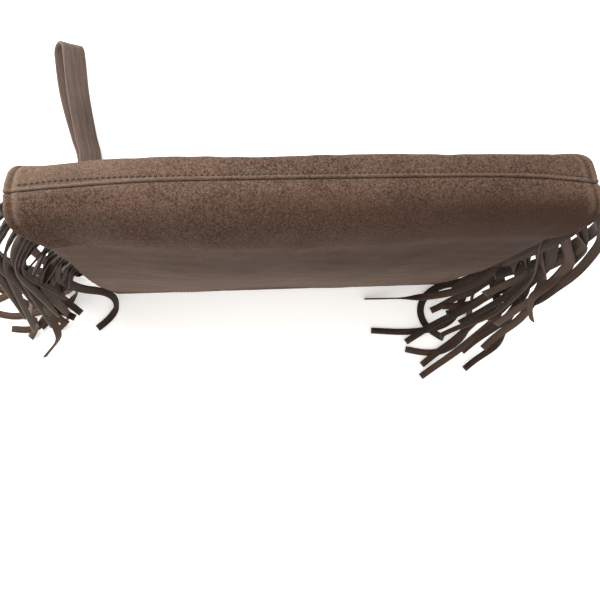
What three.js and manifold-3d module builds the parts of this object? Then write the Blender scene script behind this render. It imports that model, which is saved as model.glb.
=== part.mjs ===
// A fringed suede clutch bag with a wrist strap and a zip along its mouth.
// Millimetres, +Z up. The bag stands base up on the rim of its mouth: X runs along its width,
// +Y from the front panel to the back panel, and Z from the rim to the base.

import * as THREE from 'three';
import { mergeVertices } from 'three/addons/utils/BufferGeometryUtils.js';
import Module from 'manifold-3d';

const wasm = await Module();
wasm.setup();

// ---- Driving dimensions ------------------------------------------------------------------

// The place of the bag's own centre in the part's frame, which is centred on the whole outline.
const BAG_CENTRE = { x: 40, y: -40 };

// Suede body.
const BAG_HEIGHT = 264;
const MOUTH_HALF_WIDTH = 143;
const MOUTH_HALF_DEPTH = 15;
const BASE_HALF_WIDTH = 132.5;
const BASE_HALF_DEPTH = 18.5;
const BELLY = 4.5;
const CORNER_RADIUS = 9;
const BASE_EDGE_RADIUS = 5;
const SUEDE = 1.6;
const HEM_HEIGHT = 12;
const HEM_THICKNESS = 3.2;
const GAP = 0.3;
const SEAM_BACKSET = 5.5;

// Lining.
const LINING_CLEARANCE = 2;
const LINING = 0.6;
const LINING_START = 13.7;

// Zip. Its outer face looks down, because the mouth does.
const TAPE_INNER = 1.2;
const TAPE_INSET = 2;
const TAPE_BOTTOM = 12.4;
const TAPE_THICKNESS = 0.8;
const TEETH_HALF_LENGTH = 122.5;
const TEETH_PITCH = 5;
const TEETH_BOTTOM = 10.4;
const TEETH_HEIGHT = 1.7;
const TEETH_INNER = 0.9;
const TEETH_OUTER = 3.6;
const STOP_LENGTH = 4;
const SLIDER_X = 111;
const SLIDER_HALF_WIDTH = 4.8;
const PLATE_BOTTOM = 8.4;
const PLATE_THICKNESS = 1.6;
const INNER_PLATE_BOTTOM = 13.6;
const PULL_AXIS_Z = 6.6;
const PULL_LENGTH = 24;
const PULL_THICKNESS = 1.2;
const PULL_DROOP = THREE.MathUtils.degToRad(13);

// Fringe: strands cut from one strip of suede whose uncut header is sewn in each side seam.
const STRANDS = 26;
const STRAND_WIDTH = 6.2;
const STRAND_THICKNESS = 1.1;
const STRAND_LENGTH = 168;
const STRAND_STEPS = 11;
const HANG_OUTWARD = 0.3;
const HANG_FORWARD = 2;
const LYING_LOW = 1;
const LYING_STEP = 1.35;
const FRINGE_LOW = 42;
const FRINGE_HIGH = 252;
const HEADER_DEPTH = 3.4;
const HEADER_MARGIN = 5;
const SLOT_HALF = 0.9;
const SLOT_LOW = 34;
const SLOT_HIGH = 258;

// Wrist strap: one band folded into a loop, its two ends sewn in the left side seam.
const STRAP_WIDTH = 19;
const STRAP_THICKNESS = 2.4;
const STRAP_END_GAP = 12;
const STRAP_SEAM_LIFT = 5;
const STRAP_SIDESTEP = 3;
const STRAP_SLOT_HALF = 2.9;
const STRAP_SLOT_TOP = 24.8;

// ---- Small helpers -----------------------------------------------------------------------

const UP = new THREE.Vector3(0, 0, 1);

function smooth(value) {
  return THREE.MathUtils.smoothstep(value, 0, 1);
}

// A repeatable number from -1 to 1 for strand `index` and trait `trait`.
function vary(index, trait) {
  const wave = Math.sin(index * 12.9898 + trait * 78.233) * 43758.5453;
  return 2 * (wave - Math.floor(wave)) - 1;
}

// A closed skin over rings of points, each ring running anticlockwise seen from the last one.
function stackRings(rings) {
  const count = rings[0].length;
  const positions = rings.flat().flatMap((point) => point.toArray());
  const index = [];
  for (let ring = 0; ring < rings.length - 1; ring++) {
    for (let step = 0; step < count; step++) {
      const next = (step + 1) % count;
      const low = ring * count;
      const high = low + count;
      index.push(low + step, low + next, high + next);
      index.push(low + step, high + next, high + step);
    }
  }
  const last = (rings.length - 1) * count;
  for (let step = 1; step < count - 1; step++) {
    index.push(0, step + 1, step);
    index.push(last, last + step, last + step + 1);
  }
  const geometry = new THREE.BufferGeometry();
  geometry.setAttribute('position', new THREE.Float32BufferAttribute(positions, 3));
  geometry.setIndex(index);
  return geometry;
}

function toSolid(geometry) {
  const bare = geometry.clone();
  bare.deleteAttribute('normal');
  bare.deleteAttribute('uv');
  const merged = mergeVertices(bare);
  const vertProperties = Float32Array.from(merged.attributes.position.array);
  const triVerts = Uint32Array.from(merged.index.array);
  return new wasm.Manifold(new wasm.Mesh({ numProp: 3, vertProperties, triVerts }));
}

function toGeometry(solid) {
  const { vertProperties, triVerts } = solid.getMesh();
  const geometry = new THREE.BufferGeometry();
  geometry.setAttribute('position', new THREE.BufferAttribute(vertProperties, 3));
  geometry.setIndex(new THREE.BufferAttribute(triVerts, 1));
  geometry.computeVertexNormals();
  return geometry;
}

function join(geometries) {
  return geometries.map(toSolid).reduce((whole, piece) => whole.add(piece));
}

// The same solid with any pocket closed off inside it filled.
function withoutPockets(solid) {
  const shells = solid.decompose().filter((shell) => shell.volume() > 0);
  return shells.reduce((whole, shell) => whole.add(shell));
}

function box(x0, x1, y0, y1, z0, z1) {
  const geometry = new THREE.BoxGeometry(x1 - x0, y1 - y0, z1 - z0);
  return geometry.translate((x0 + x1) / 2, (y0 + y1) / 2, (z0 + z1) / 2);
}

// An outline drawn in X and Y, given thickness along Z from `bottom`.
function plate(points, bottom, thickness) {
  const shape = new THREE.Shape(points.map(([x, y]) => new THREE.Vector2(x, y)));
  const geometry = new THREE.ExtrudeGeometry(shape, { depth: thickness, bevelEnabled: false });
  return geometry.translate(0, 0, bottom);
}

function piece(name, geometry, finish) {
  const mesh = new THREE.Mesh(geometry, new THREE.MeshStandardMaterial(finish));
  mesh.name = name;
  return mesh;
}

// ---- Finishes ----------------------------------------------------------------------------

const SUEDE_FINISH = { color: 0x66503f, roughness: 0.95, metalness: 0 };
const FRINGE_FINISH = { color: 0x4e4139, roughness: 0.95, metalness: 0 };
const STRAP_FINISH = { color: 0x645650, roughness: 0.9, metalness: 0 };
const LINING_FINISH = { color: 0x6b5c50, roughness: 0.8, metalness: 0 };
const TAPE_FINISH = { color: 0x3e3029, roughness: 0.85, metalness: 0 };
const BRASS_FINISH = { color: 0x8a7350, roughness: 0.35, metalness: 1 };

// ---- Suede body and lining ---------------------------------------------------------------

// Half width, half depth and belly of the body's outside at height z.
function bodySize(z) {
  const t = z / BAG_HEIGHT;
  return {
    width: THREE.MathUtils.lerp(MOUTH_HALF_WIDTH, BASE_HALF_WIDTH, smooth(t)),
    depth: THREE.MathUtils.lerp(MOUTH_HALF_DEPTH, BASE_HALF_DEPTH, t),
    belly: BELLY * Math.sin(Math.PI * Math.min(1, t * 1.02)),
  };
}

// How far behind the middle the side and base seams run at height z.
function seamY(z) {
  return SEAM_BACKSET * smooth(z / BAG_HEIGHT);
}

// The body's outline at height z, pulled in by `inset`, anticlockwise from above.
function bodyRing(z, inset) {
  const size = bodySize(z);
  const halfWidth = size.width - inset;
  const halfDepth = size.depth - inset;
  const radius = Math.max(2, CORNER_RADIUS - inset);
  const cornerSteps = 3;
  const longSteps = 8;
  const corners = [[1, -1, -90], [1, 1, 0], [-1, 1, 90], [-1, -1, 180]];
  const outline = [];
  for (const [signX, signY, start] of corners) {
    for (let step = 0; step <= cornerSteps; step++) {
      const angle = THREE.MathUtils.degToRad(start + (90 * step) / cornerSteps);
      outline.push([
        signX * (halfWidth - radius) + radius * Math.cos(angle),
        signY * (halfDepth - radius) + radius * Math.sin(angle),
      ]);
    }
    if (signX === signY) {
      for (let step = 1; step < longSteps; step++) {
        const along = signX * (halfWidth - radius) * (1 - (2 * step) / longSteps);
        outline.push([along, signY * halfDepth]);
      }
    }
  }
  return outline.map(([x, y]) => {
    const swell = size.belly * (1 - (x / halfWidth) ** 2) * (y / halfDepth);
    return new THREE.Vector3(x, y + swell, z);
  });
}

// A solid of the body's shape pulled in by `inset` all round, from `bottom` up to the base.
function bodySolid(inset, bottom) {
  const rings = [bodyRing(bottom, inset)];
  for (let z = 44; z < BAG_HEIGHT - BASE_EDGE_RADIUS - 20; z += 44) {
    rings.push(bodyRing(z, inset));
  }
  const edge = BASE_EDGE_RADIUS - inset;
  for (let degrees = 0; degrees <= 90; degrees += 30) {
    const angle = THREE.MathUtils.degToRad(degrees);
    const z = BAG_HEIGHT - BASE_EDGE_RADIUS + edge * Math.sin(angle);
    const ring = bodyRing(z, BASE_EDGE_RADIUS - edge * Math.cos(angle));
    rings.push(ring);
  }
  return toSolid(stackRings(rings));
}

// Everything on one side of the seam: `side` -1 is the front, 1 the back. The edge keeps
// `clear` from the seam, and `slot` where the fringe header passes between the panels.
function seamSide(side, clear, slot) {
  const edge = [];
  const stops = [
    [-10, clear], [SLOT_LOW, clear], [SLOT_LOW, slot], [80, slot], [130, slot], [180, slot],
    [225, slot], [SLOT_HIGH, slot], [SLOT_HIGH, clear], [BAG_HEIGHT + 10, clear],
  ];
  for (const [z, offset] of stops) {
    edge.push([seamY(z) + side * offset, z]);
  }
  const outline = [[side * 60, -10], ...edge, [side * 60, BAG_HEIGHT + 10]];
  const shape = new THREE.Shape(outline.map(([y, z]) => new THREE.Vector2(y, z)));
  const prism = new THREE.ExtrudeGeometry(shape, { depth: 400, bevelEnabled: false });
  const turn = new THREE.Matrix4().makeBasis(
    new THREE.Vector3(0, 1, 0), new THREE.Vector3(0, 0, 1), new THREE.Vector3(1, 0, 0),
  );
  return toSolid(prism.applyMatrix4(turn).translate(-200, 0, 0));
}

function suedePanel(side) {
  const hemHollow = bodyRing(-1, HEM_THICKNESS);
  const hemTop = bodyRing(HEM_HEIGHT, HEM_THICKNESS);
  const strapSlot = box(
    -MOUTH_HALF_WIDTH - 10, -MOUTH_HALF_WIDTH + 12,
    -STRAP_SLOT_HALF, STRAP_SLOT_HALF, STRAP_SEAM_LIFT - 0.4, STRAP_SLOT_TOP,
  );
  const panel = bodySolid(0, 0)
    .subtract(bodySolid(SUEDE, HEM_HEIGHT))
    .subtract(toSolid(stackRings([hemHollow, hemTop.map((p) => p.setZ(HEM_HEIGHT + 1))])))
    .intersect(seamSide(side, GAP / 2, SLOT_HALF))
    .subtract(toSolid(strapSlot));
  return toGeometry(panel);
}

function liningPanel(side) {
  const panel = bodySolid(LINING_CLEARANCE, LINING_START)
    .subtract(bodySolid(LINING_CLEARANCE + LINING, LINING_START - 1))
    .intersect(seamSide(side, GAP / 2, GAP / 2));
  return toGeometry(panel);
}

// ---- Zip ---------------------------------------------------------------------------------

// Half of the tape that closes the mouth, cut to the mouth's rounded outline.
function zipTape(side) {
  const near = side * TAPE_INNER;
  const far = side * MOUTH_HALF_DEPTH;
  const blank = box(
    -MOUTH_HALF_WIDTH, MOUTH_HALF_WIDTH, Math.min(near, far), Math.max(near, far),
    TAPE_BOTTOM, TAPE_BOTTOM + TAPE_THICKNESS,
  );
  return toGeometry(toSolid(blank).intersect(bodySolid(TAPE_INSET, 0)));
}

// A comb of teeth on one back strip.
function zipTeeth(side) {
  const back = side * TEETH_OUTER;
  const root = side * (TEETH_OUTER - 1);
  const tip = side * TEETH_INNER;
  const outline = [[TEETH_HALF_LENGTH, back], [-TEETH_HALF_LENGTH, back]];
  const count = (2 * TEETH_HALF_LENGTH) / TEETH_PITCH;
  for (let tooth = 0; tooth < count; tooth++) {
    const start = -TEETH_HALF_LENGTH + tooth * TEETH_PITCH;
    const shoulder = start + TEETH_PITCH / 2;
    outline.push([start, tip], [shoulder, tip], [shoulder, root]);
    outline.push([start + TEETH_PITCH, root]);
  }
  return plate(outline, TEETH_BOTTOM, TEETH_HEIGHT);
}

function zipStop(x0, y0, y1) {
  return box(x0, x0 + STOP_LENGTH, y0, y1, TEETH_BOTTOM - 0.4, TEETH_BOTTOM + TEETH_HEIGHT);
}

// Two plates joined by a web that runs in the gap between the teeth, side flanges, and the
// small bridge that holds the pull.
function zipSlider() {
  const wide = SLIDER_HALF_WIDTH;
  const outline = [[-7, -wide], [4, -wide], [7.5, -2.6], [7.5, 2.6], [4, wide], [-7, wide]];
  const top = PLATE_BOTTOM + PLATE_THICKNESS;
  const bridgeLow = PULL_AXIS_Z - 2.5;
  return toGeometry(join([
    plate(outline, PLATE_BOTTOM, PLATE_THICKNESS),
    plate(outline, INNER_PLATE_BOTTOM, 1.2),
    box(-6, 6, -0.5, 0.5, top - 0.2, INNER_PLATE_BOTTOM + 0.2),
    box(-7, 4, -wide, -wide + 0.8, top - 0.2, TAPE_BOTTOM - 0.4),
    box(-7, 4, wide - 0.8, wide, top - 0.2, TAPE_BOTTOM - 0.4),
    box(-3.4, -2.5, -0.9, 0.9, bridgeLow, PLATE_BOTTOM + 0.2),
    box(2.5, 3.4, -0.9, 0.9, bridgeLow, PLATE_BOTTOM + 0.2),
    box(-3.4, 3.4, -0.9, 0.9, bridgeLow, bridgeLow + 0.8),
  ]));
}

// A flat tab with a window whose end bar passes under the slider's bridge.
function zipPull() {
  const shape = new THREE.Shape();
  shape.moveTo(0.6, -2.8);
  shape.lineTo(0.6, 2.8);
  shape.lineTo(-6.5, 2.8);
  shape.lineTo(-9.5, 3.8);
  shape.lineTo(-PULL_LENGTH + 4, 3.8);
  shape.absarc(-PULL_LENGTH + 3.8, 0, 3.8, Math.PI / 2, (3 * Math.PI) / 2, false);
  shape.lineTo(-9.5, -3.8);
  shape.lineTo(-6.5, -2.8);
  const window = new THREE.Path();
  window.moveTo(-0.6, -1.5);
  window.lineTo(-5.5, -1.5);
  window.lineTo(-5.5, 1.5);
  window.lineTo(-0.6, 1.5);
  shape.holes.push(window);
  const settings = { depth: PULL_THICKNESS, bevelEnabled: false, curveSegments: 8 };
  return new THREE.ExtrudeGeometry(shape, settings).translate(0, 0, -PULL_THICKNESS / 2);
}

// ---- Flat bands: fringe strands and the strap --------------------------------------------

// A band of even width and thickness along `points`, with `across` its width direction at
// each point.
function band(points, across, width, thickness) {
  const rings = points.map((point, at) => {
    const before = points[Math.max(0, at - 1)];
    const after = points[Math.min(points.length - 1, at + 1)];
    const along = after.clone().sub(before).normalize();
    const wide = across[at].clone().addScaledVector(along, -across[at].dot(along)).normalize();
    const thick = along.clone().cross(wide);
    return [[1, -1], [1, 1], [-1, 1], [-1, -1]].map(([w, n]) => point.clone()
      .addScaledVector(wide, (w * width) / 2)
      .addScaledVector(thick, (n * thickness) / 2));
  });
  return stackRings(rings);
}

// One strand: out of the seam, forward and down under its weight, and along the ground for
// what is left of it. Each strand hangs in front of the one below and lies on top of it.
function strand(side, order) {
  const share = order / (STRANDS - 1);
  const rootZ = THREE.MathUtils.lerp(FRINGE_LOW, FRINGE_HIGH, share);
  const tail = new THREE.Vector3(side * (bodySize(rootZ).width + 0.5), seamY(rootZ), rootZ);
  const root = tail.clone().add(new THREE.Vector3(side * 2.5, 0, 0));
  const hang = new THREE.Vector3(
    side * (MOUTH_HALF_WIDTH + 7 + HANG_OUTWARD * order),
    -8 - HANG_FORWARD * order,
    0,
  );
  const reach = hang.clone().sub(root).setZ(0);
  const drop = 14 + 0.4 * Math.abs(reach.y);
  const at = (portionX, portionY, fall) => new THREE.Vector3(
    root.x + portionX * reach.x, root.y + portionY * reach.y, root.z - fall,
  );
  const route = [
    root, at(0.5, 0.05, 0), at(0.95, 0.4, 0.2 * drop), at(1, 0.86, 0.62 * drop), at(1, 1, drop),
  ];
  const used = new THREE.CatmullRomCurve3(route).getLength();
  const ground = LYING_LOW + LYING_STEP * order;
  const hangLength = Math.min(STRAND_LENGTH - used, root.z - drop - ground);
  const lying = STRAND_LENGTH - used - hangLength;
  if (lying > 16) {
    const heading = THREE.MathUtils.degToRad(242 + 26 * vary(order + 7 * side, 4));
    const away = new THREE.Vector3(Math.cos(heading), Math.sin(heading), 0);
    const curl = new THREE.Vector3(-away.y, away.x, 0).multiplyScalar(6 * vary(order, 5));
    const foot = at(1, 1, root.z - ground);
    route.push(at(1, 1, root.z - ground - 14));
    route.push(foot.clone().addScaledVector(away, 10));
    route.push(foot.clone().addScaledVector(away, 10 + lying / 2).add(curl));
    route.push(foot.clone().addScaledVector(away, 4 + lying));
  } else {
    route.push(at(1, 1, drop + (hangLength + lying) / 2));
    route.push(at(1, 1, drop + hangLength + lying / 2));
  }
  const curve = new THREE.CatmullRomCurve3(route);
  const points = curve.getSpacedPoints(STRAND_STEPS);
  points.forEach((point) => point.setZ(Math.max(point.z, ground)));
  const sidewise = new THREE.Vector3(1, 0, 0);
  const across = points.map((point, step) => {
    const along = curve.getTangentAt(step / STRAND_STEPS);
    const turned = smooth((step - 0.4) / 1.4);
    const upright = UP.clone().lerp(sidewise, turned).normalize();
    const flat = new THREE.Vector3(-along.y, along.x, 0);
    const laid = smooth((0.6 - Math.abs(along.z)) / 0.4) * (turned === 1 ? 1 : 0);
    return upright.lerp(flat, laid).normalize();
  });
  return band([tail, ...points], [UP, ...across], STRAND_WIDTH, STRAND_THICKNESS);
}

// The strands of one side and the uncut header that carries them through the seam.
function fringe(side) {
  const stops = [FRINGE_LOW - HEADER_MARGIN, 80, 130, 180, 225, FRINGE_HIGH + HEADER_MARGIN];
  const header = stops.map((z) => new THREE.Vector3(
    side * (bodySize(z).width - SUEDE + HEADER_DEPTH / 2), seamY(z), z,
  ));
  const outward = header.map(() => new THREE.Vector3(1, 0, 0));
  const pieces = [band(header, outward, HEADER_DEPTH, STRAND_THICKNESS)];
  for (let order = 0; order < STRANDS; order++) {
    pieces.push(strand(side, order));
  }
  return toGeometry(withoutPockets(join(pieces)));
}

function wristStrap() {
  const plan = new THREE.CatmullRomCurve3([
    [-141.7, 0], [-148, 0.2], [-156, 4], [-160, 13], [-160, 45],
    [-158, 95], [-162, 145], [-169, 186],
  ].map(([x, y]) => new THREE.Vector3(x, y, 0)));
  const steps = 24;
  const stations = [];
  for (let step = 0; step <= steps; step++) {
    const share = step / steps;
    const centre = plan.getPointAt(share);
    const along = plan.getTangentAt(share);
    const twist = (Math.PI / 2) * smooth((share - 0.12) / 0.45);
    const gap = STRAP_THICKNESS + GAP
      + (STRAP_END_GAP - STRAP_THICKNESS - GAP) * smooth((share - 0.3) / 0.6);
    const wide = UP.clone().cross(along).multiplyScalar(Math.sin(twist))
      .addScaledVector(UP, Math.cos(twist));
    const apart = along.clone().cross(wide);
    centre.z = 0.2 + (gap / 2 + STRAP_THICKNESS / 2) * Math.sin(twist)
      + (STRAP_WIDTH / 2) * Math.cos(twist) + STRAP_SEAM_LIFT * (1 - smooth(share / 0.3));
    const sidestep = STRAP_SIDESTEP * smooth((share - 0.4) / 0.5);
    stations.push({ centre, along, wide, apart, gap, sidestep });
  }
  const points = [];
  const across = [];
  const add = (station, reach, forward, sidestep) => {
    points.push(station.centre.clone()
      .addScaledVector(station.apart, reach)
      .addScaledVector(station.along, forward)
      .addScaledVector(station.wide, sidestep));
    across.push(station.wide.clone());
  };
  for (const station of stations) {
    add(station, -station.gap / 2, 0, station.sidestep);
  }
  const end = stations[steps];
  const arcSteps = 6;
  for (let step = 1; step < arcSteps; step++) {
    const angle = (Math.PI * step) / arcSteps;
    const radius = end.gap / 2;
    add(end, -radius * Math.cos(angle), radius * Math.sin(angle), end.sidestep * Math.cos(angle));
  }
  for (const station of stations.slice().reverse()) {
    add(station, station.gap / 2, 0, -station.sidestep);
  }
  return band(points, across, STRAP_WIDTH, STRAP_THICKNESS);
}

// ---- Assembly ----------------------------------------------------------------------------

const body = new THREE.Group();
body.add(piece('front_panel', suedePanel(-1), SUEDE_FINISH));
body.add(piece('back_panel', suedePanel(1), SUEDE_FINISH));
body.add(piece('lining_front', liningPanel(-1), LINING_FINISH));
body.add(piece('lining_back', liningPanel(1), LINING_FINISH));
body.add(piece('fringe_left', fringe(-1), FRINGE_FINISH));
body.add(piece('fringe_right', fringe(1), FRINGE_FINISH));
body.add(piece('wrist_strap', wristStrap(), STRAP_FINISH));

const zip = new THREE.Group();
const stopEnd = TEETH_HALF_LENGTH + GAP;
zip.add(piece('zip_tape_front', zipTape(-1), TAPE_FINISH));
zip.add(piece('zip_tape_back', zipTape(1), TAPE_FINISH));
zip.add(piece('zip_teeth_front', zipTeeth(-1), BRASS_FINISH));
zip.add(piece('zip_teeth_back', zipTeeth(1), BRASS_FINISH));
zip.add(piece('zip_top_stop_front', zipStop(stopEnd, -TEETH_OUTER, -TEETH_INNER), BRASS_FINISH));
zip.add(piece('zip_top_stop_back', zipStop(stopEnd, TEETH_INNER, TEETH_OUTER), BRASS_FINISH));
zip.add(piece(
  'zip_bottom_stop', zipStop(-stopEnd - STOP_LENGTH, -TEETH_OUTER, TEETH_OUTER), BRASS_FINISH,
));

const slider = piece('zip_slider', zipSlider(), BRASS_FINISH);
slider.position.x = SLIDER_X;
zip.add(slider);

const pull = piece('zip_pull', zipPull(), BRASS_FINISH);
pull.position.set(SLIDER_X, 0, PULL_AXIS_Z);
pull.rotation.y = -PULL_DROOP;
zip.add(pull);

const bag = new THREE.Group();
bag.position.set(BAG_CENTRE.x, BAG_CENTRE.y, 0);
bag.add(body, zip);

export default bag;
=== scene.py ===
"""Looks of a fringed suede clutch bag, stood base up on the rim of its zipped mouth.

X runs along the bag's width, +Y from its front panel to its back panel, and Z from the rim
of the mouth up to the base. Everything is in metres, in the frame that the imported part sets.
"""

import logging
import math
from dataclasses import dataclass, field
from enum import Enum
from typing import Mapping, Optional, Sequence, Union

import bmesh
import bpy
import numpy as np
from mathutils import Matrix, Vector
from mathutils.bvhtree import BVHTree


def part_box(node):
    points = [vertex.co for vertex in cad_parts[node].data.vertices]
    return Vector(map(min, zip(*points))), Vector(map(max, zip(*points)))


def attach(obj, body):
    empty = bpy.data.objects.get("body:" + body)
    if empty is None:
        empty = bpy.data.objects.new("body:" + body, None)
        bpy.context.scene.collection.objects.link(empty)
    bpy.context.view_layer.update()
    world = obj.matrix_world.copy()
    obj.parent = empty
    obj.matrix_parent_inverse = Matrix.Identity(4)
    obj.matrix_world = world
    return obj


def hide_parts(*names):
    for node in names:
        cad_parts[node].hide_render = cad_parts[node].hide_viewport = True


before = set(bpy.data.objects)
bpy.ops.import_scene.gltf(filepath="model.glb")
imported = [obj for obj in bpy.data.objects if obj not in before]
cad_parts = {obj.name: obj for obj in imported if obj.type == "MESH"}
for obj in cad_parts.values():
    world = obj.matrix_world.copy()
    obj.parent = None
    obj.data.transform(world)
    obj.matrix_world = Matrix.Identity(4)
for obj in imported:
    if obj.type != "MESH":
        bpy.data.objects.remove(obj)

LOG = logging.getLogger("bag")
MM = 0.001
UP = np.array([0.0, 0.0, 1.0])
DOWN = -UP
MERGE_DISTANCE = 0.002 * MM
Grid = np.ndarray
Colour = tuple[float, float, float, float]


# ---- Small helpers ------------------------------------------------------------------------


def smooth(value: Union[float, Grid]) -> Union[float, Grid]:
    """An even ease from 0 to 1, for a value clamped to that range."""
    share = np.clip(value, 0.0, 1.0)
    return share * share * (3.0 - 2.0 * share)


def bell(distance: Union[float, Grid], width: float) -> Union[float, Grid]:
    """1 at no distance, falling away over about `width`."""
    return np.exp(-((distance / width) ** 2))


def lerp(first: Grid, last: Grid, share: Union[float, Grid]) -> Grid:
    """The value `share` of the way from `first` to `last`."""
    return first + (last - first) * share


def unit(vectors: Grid) -> Grid:
    """The vectors made one long, along the last axis."""
    return vectors / np.maximum(np.linalg.norm(vectors, axis=-1, keepdims=True), 1e-12)


def paint(code: str) -> Colour:
    """A colour written as six hex digits, as the linear values that shaders take."""
    shares = [int(code[at : at + 2], 16) / 255.0 for at in (0, 2, 4)]
    linear = [s / 12.92 if s <= 0.04045 else ((s + 0.055) / 1.055) ** 2.4 for s in shares]
    return (linear[0], linear[1], linear[2], 1.0)


@dataclass(frozen=True)
class Ripple:
    """A soft and repeatable unevenness: slanted waves of about one length, summed."""

    length: float
    seed: int
    stretch: tuple[float, float, float] = (1.0, 1.0, 1.0)
    waves: int = 9

    def at(self, points: Grid) -> Grid:
        """The unevenness at each point, mostly from -1 to 1."""
        rng = np.random.default_rng(self.seed)
        total = np.zeros(points.shape[:-1])
        for _ in range(self.waves):
            heading = unit(rng.normal(size=3)) / np.array(self.stretch)
            turns = rng.uniform(0.6, 1.5) / self.length
            total += np.sin(2 * np.pi * (points @ heading * turns + rng.random()))
        return total / math.sqrt(self.waves)


def linked(name: str, data: bpy.types.ID) -> bpy.types.Object:
    """A new object of the scene that holds the data."""
    thing = bpy.data.objects.new(name, data)
    bpy.context.scene.collection.objects.link(thing)
    return thing


def quads(rows: int, columns: int, start: int = 0) -> list[tuple[int, ...]]:
    """The faces of a grid of points, which are numbered row by row from `start`."""
    lows = (start + row * columns + at for row in range(rows - 1) for at in range(columns - 1))
    return [(low, low + 1, low + 1 + columns, low + columns) for low in lows]


def mesh_object(
    name: str, points: Grid, faces: Sequence[Sequence[int]], values: Mapping[str, Grid]
) -> bpy.types.Object:
    """A linked object from points and faces, doubles merged and shaded smooth.

    Args:
        name: The piece's name.
        points: Its corners, in the frame.
        faces: Corner numbers of each face.
        values: Numbers to store at each point, by name.

    Returns:
        The new object, at the origin.
    """
    mesh = bpy.data.meshes.new(name)
    mesh.from_pydata(points.tolist(), [], faces)
    thing = linked(name, mesh)
    for label, numbers in values.items():
        store(thing, label, numbers)
    shape = bmesh.new()
    shape.from_mesh(mesh)
    bmesh.ops.remove_doubles(shape, verts=shape.verts, dist=MERGE_DISTANCE)
    bmesh.ops.recalc_face_normals(shape, faces=shape.faces)
    shape.to_mesh(mesh)
    shape.free()
    mesh.shade_smooth()
    return thing


def corners(thing: bpy.types.Object) -> Grid:
    """The mesh's points as an array."""
    flat = np.zeros(len(thing.data.vertices) * 3)
    thing.data.vertices.foreach_get("co", flat)
    return flat.reshape(-1, 3)


def place_corners(thing: bpy.types.Object, points: Grid) -> None:
    """Moves the mesh's points."""
    thing.data.vertices.foreach_set("co", points.ravel())
    thing.data.update()


def normals(thing: bpy.types.Object) -> Grid:
    """The outward direction at each point of the mesh."""
    flat = np.zeros(len(thing.data.vertices) * 3)
    thing.data.vertex_normals.foreach_get("vector", flat)
    return flat.reshape(-1, 3)


def store(thing: bpy.types.Object, name: str, values: Grid) -> None:
    """Stores a number at each point."""
    layer = thing.data.attributes.new(name, "FLOAT", "POINT")
    layer.data.foreach_set("value", np.asarray(values, np.float32).ravel())


def stored(thing: bpy.types.Object, name: str) -> Grid:
    """The numbers that were stored at each point."""
    values = np.zeros(len(thing.data.vertices), np.float32)
    thing.data.attributes[name].data.foreach_get("value", values)
    return values.astype(float)


def settle(thing: bpy.types.Object) -> bpy.types.Object:
    """Turns the object's modifiers into plain mesh, and takes them off."""
    depsgraph = bpy.context.evaluated_depsgraph_get()
    final = bpy.data.meshes.new_from_object(thing.evaluated_get(depsgraph))
    thing.modifiers.clear()
    thing.data = final
    return thing


def thicken(thing: bpy.types.Object, depth: Grid, labels: Sequence[str]) -> None:
    """Makes an open sheet a closed wall, inwards from the face that it has.

    Args:
        thing: The sheet.
        depth: The wall's thickness at each point.
        labels: The stored numbers that both faces of the wall keep.
    """
    outer = corners(thing)
    inner = outer - normals(thing) * depth[:, None]
    kept = {label: np.tile(stored(thing, label), 2) for label in labels}
    sheet = [tuple(face.vertices) for face in thing.data.polygons]
    count = len(outer)
    edges = {(a, b) for face in sheet for a, b in zip(face, face[1:] + face[:1])}
    rim = [(b, a, a + count, b + count) for a, b in edges if (b, a) not in edges]
    back = [tuple(at + count for at in reversed(face)) for face in sheet]
    wall = bpy.data.meshes.new(thing.name)
    wall.from_pydata(np.concatenate([outer, inner]).tolist(), [], sheet + back + sorted(rim))
    wall.shade_smooth()
    thing.data = wall
    for label, numbers in kept.items():
        store(thing, label, numbers)


def dress(thing: bpy.types.Object, finish: bpy.types.Material) -> None:
    """Gives the whole piece one material."""
    thing.data.materials.clear()
    thing.data.materials.append(finish)


# ---- Node graphs --------------------------------------------------------------------------


class Wire:
    """A node's output. Arithmetic on wires adds the Math nodes that work it out."""

    def __init__(self, graph: "Graph", socket: bpy.types.NodeSocket) -> None:
        self.graph = graph
        self.socket = socket

    def _maths(self, operation: str, first: "Input", second: "Input") -> "Wire":
        """One Math node."""
        settings = {"operation": operation}
        return self.graph.node("ShaderNodeMath", settings, {0: first, 1: second})

    def __add__(self, other: "Input") -> "Wire":
        return self._maths("ADD", self, other)

    def __radd__(self, other: "Input") -> "Wire":
        return self._maths("ADD", other, self)

    def __sub__(self, other: "Input") -> "Wire":
        return self._maths("SUBTRACT", self, other)

    def __rsub__(self, other: "Input") -> "Wire":
        return self._maths("SUBTRACT", other, self)

    def __mul__(self, other: "Input") -> "Wire":
        return self._maths("MULTIPLY", self, other)

    def __rmul__(self, other: "Input") -> "Wire":
        return self._maths("MULTIPLY", other, self)

    def __pow__(self, other: "Input") -> "Wire":
        return self._maths("POWER", self, other)

    def clamp(self) -> "Wire":
        """The value held between 0 and 1."""
        return self.graph.node("ShaderNodeClamp", {}, {"Value": self})


Input = Union[Wire, float, tuple]


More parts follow.
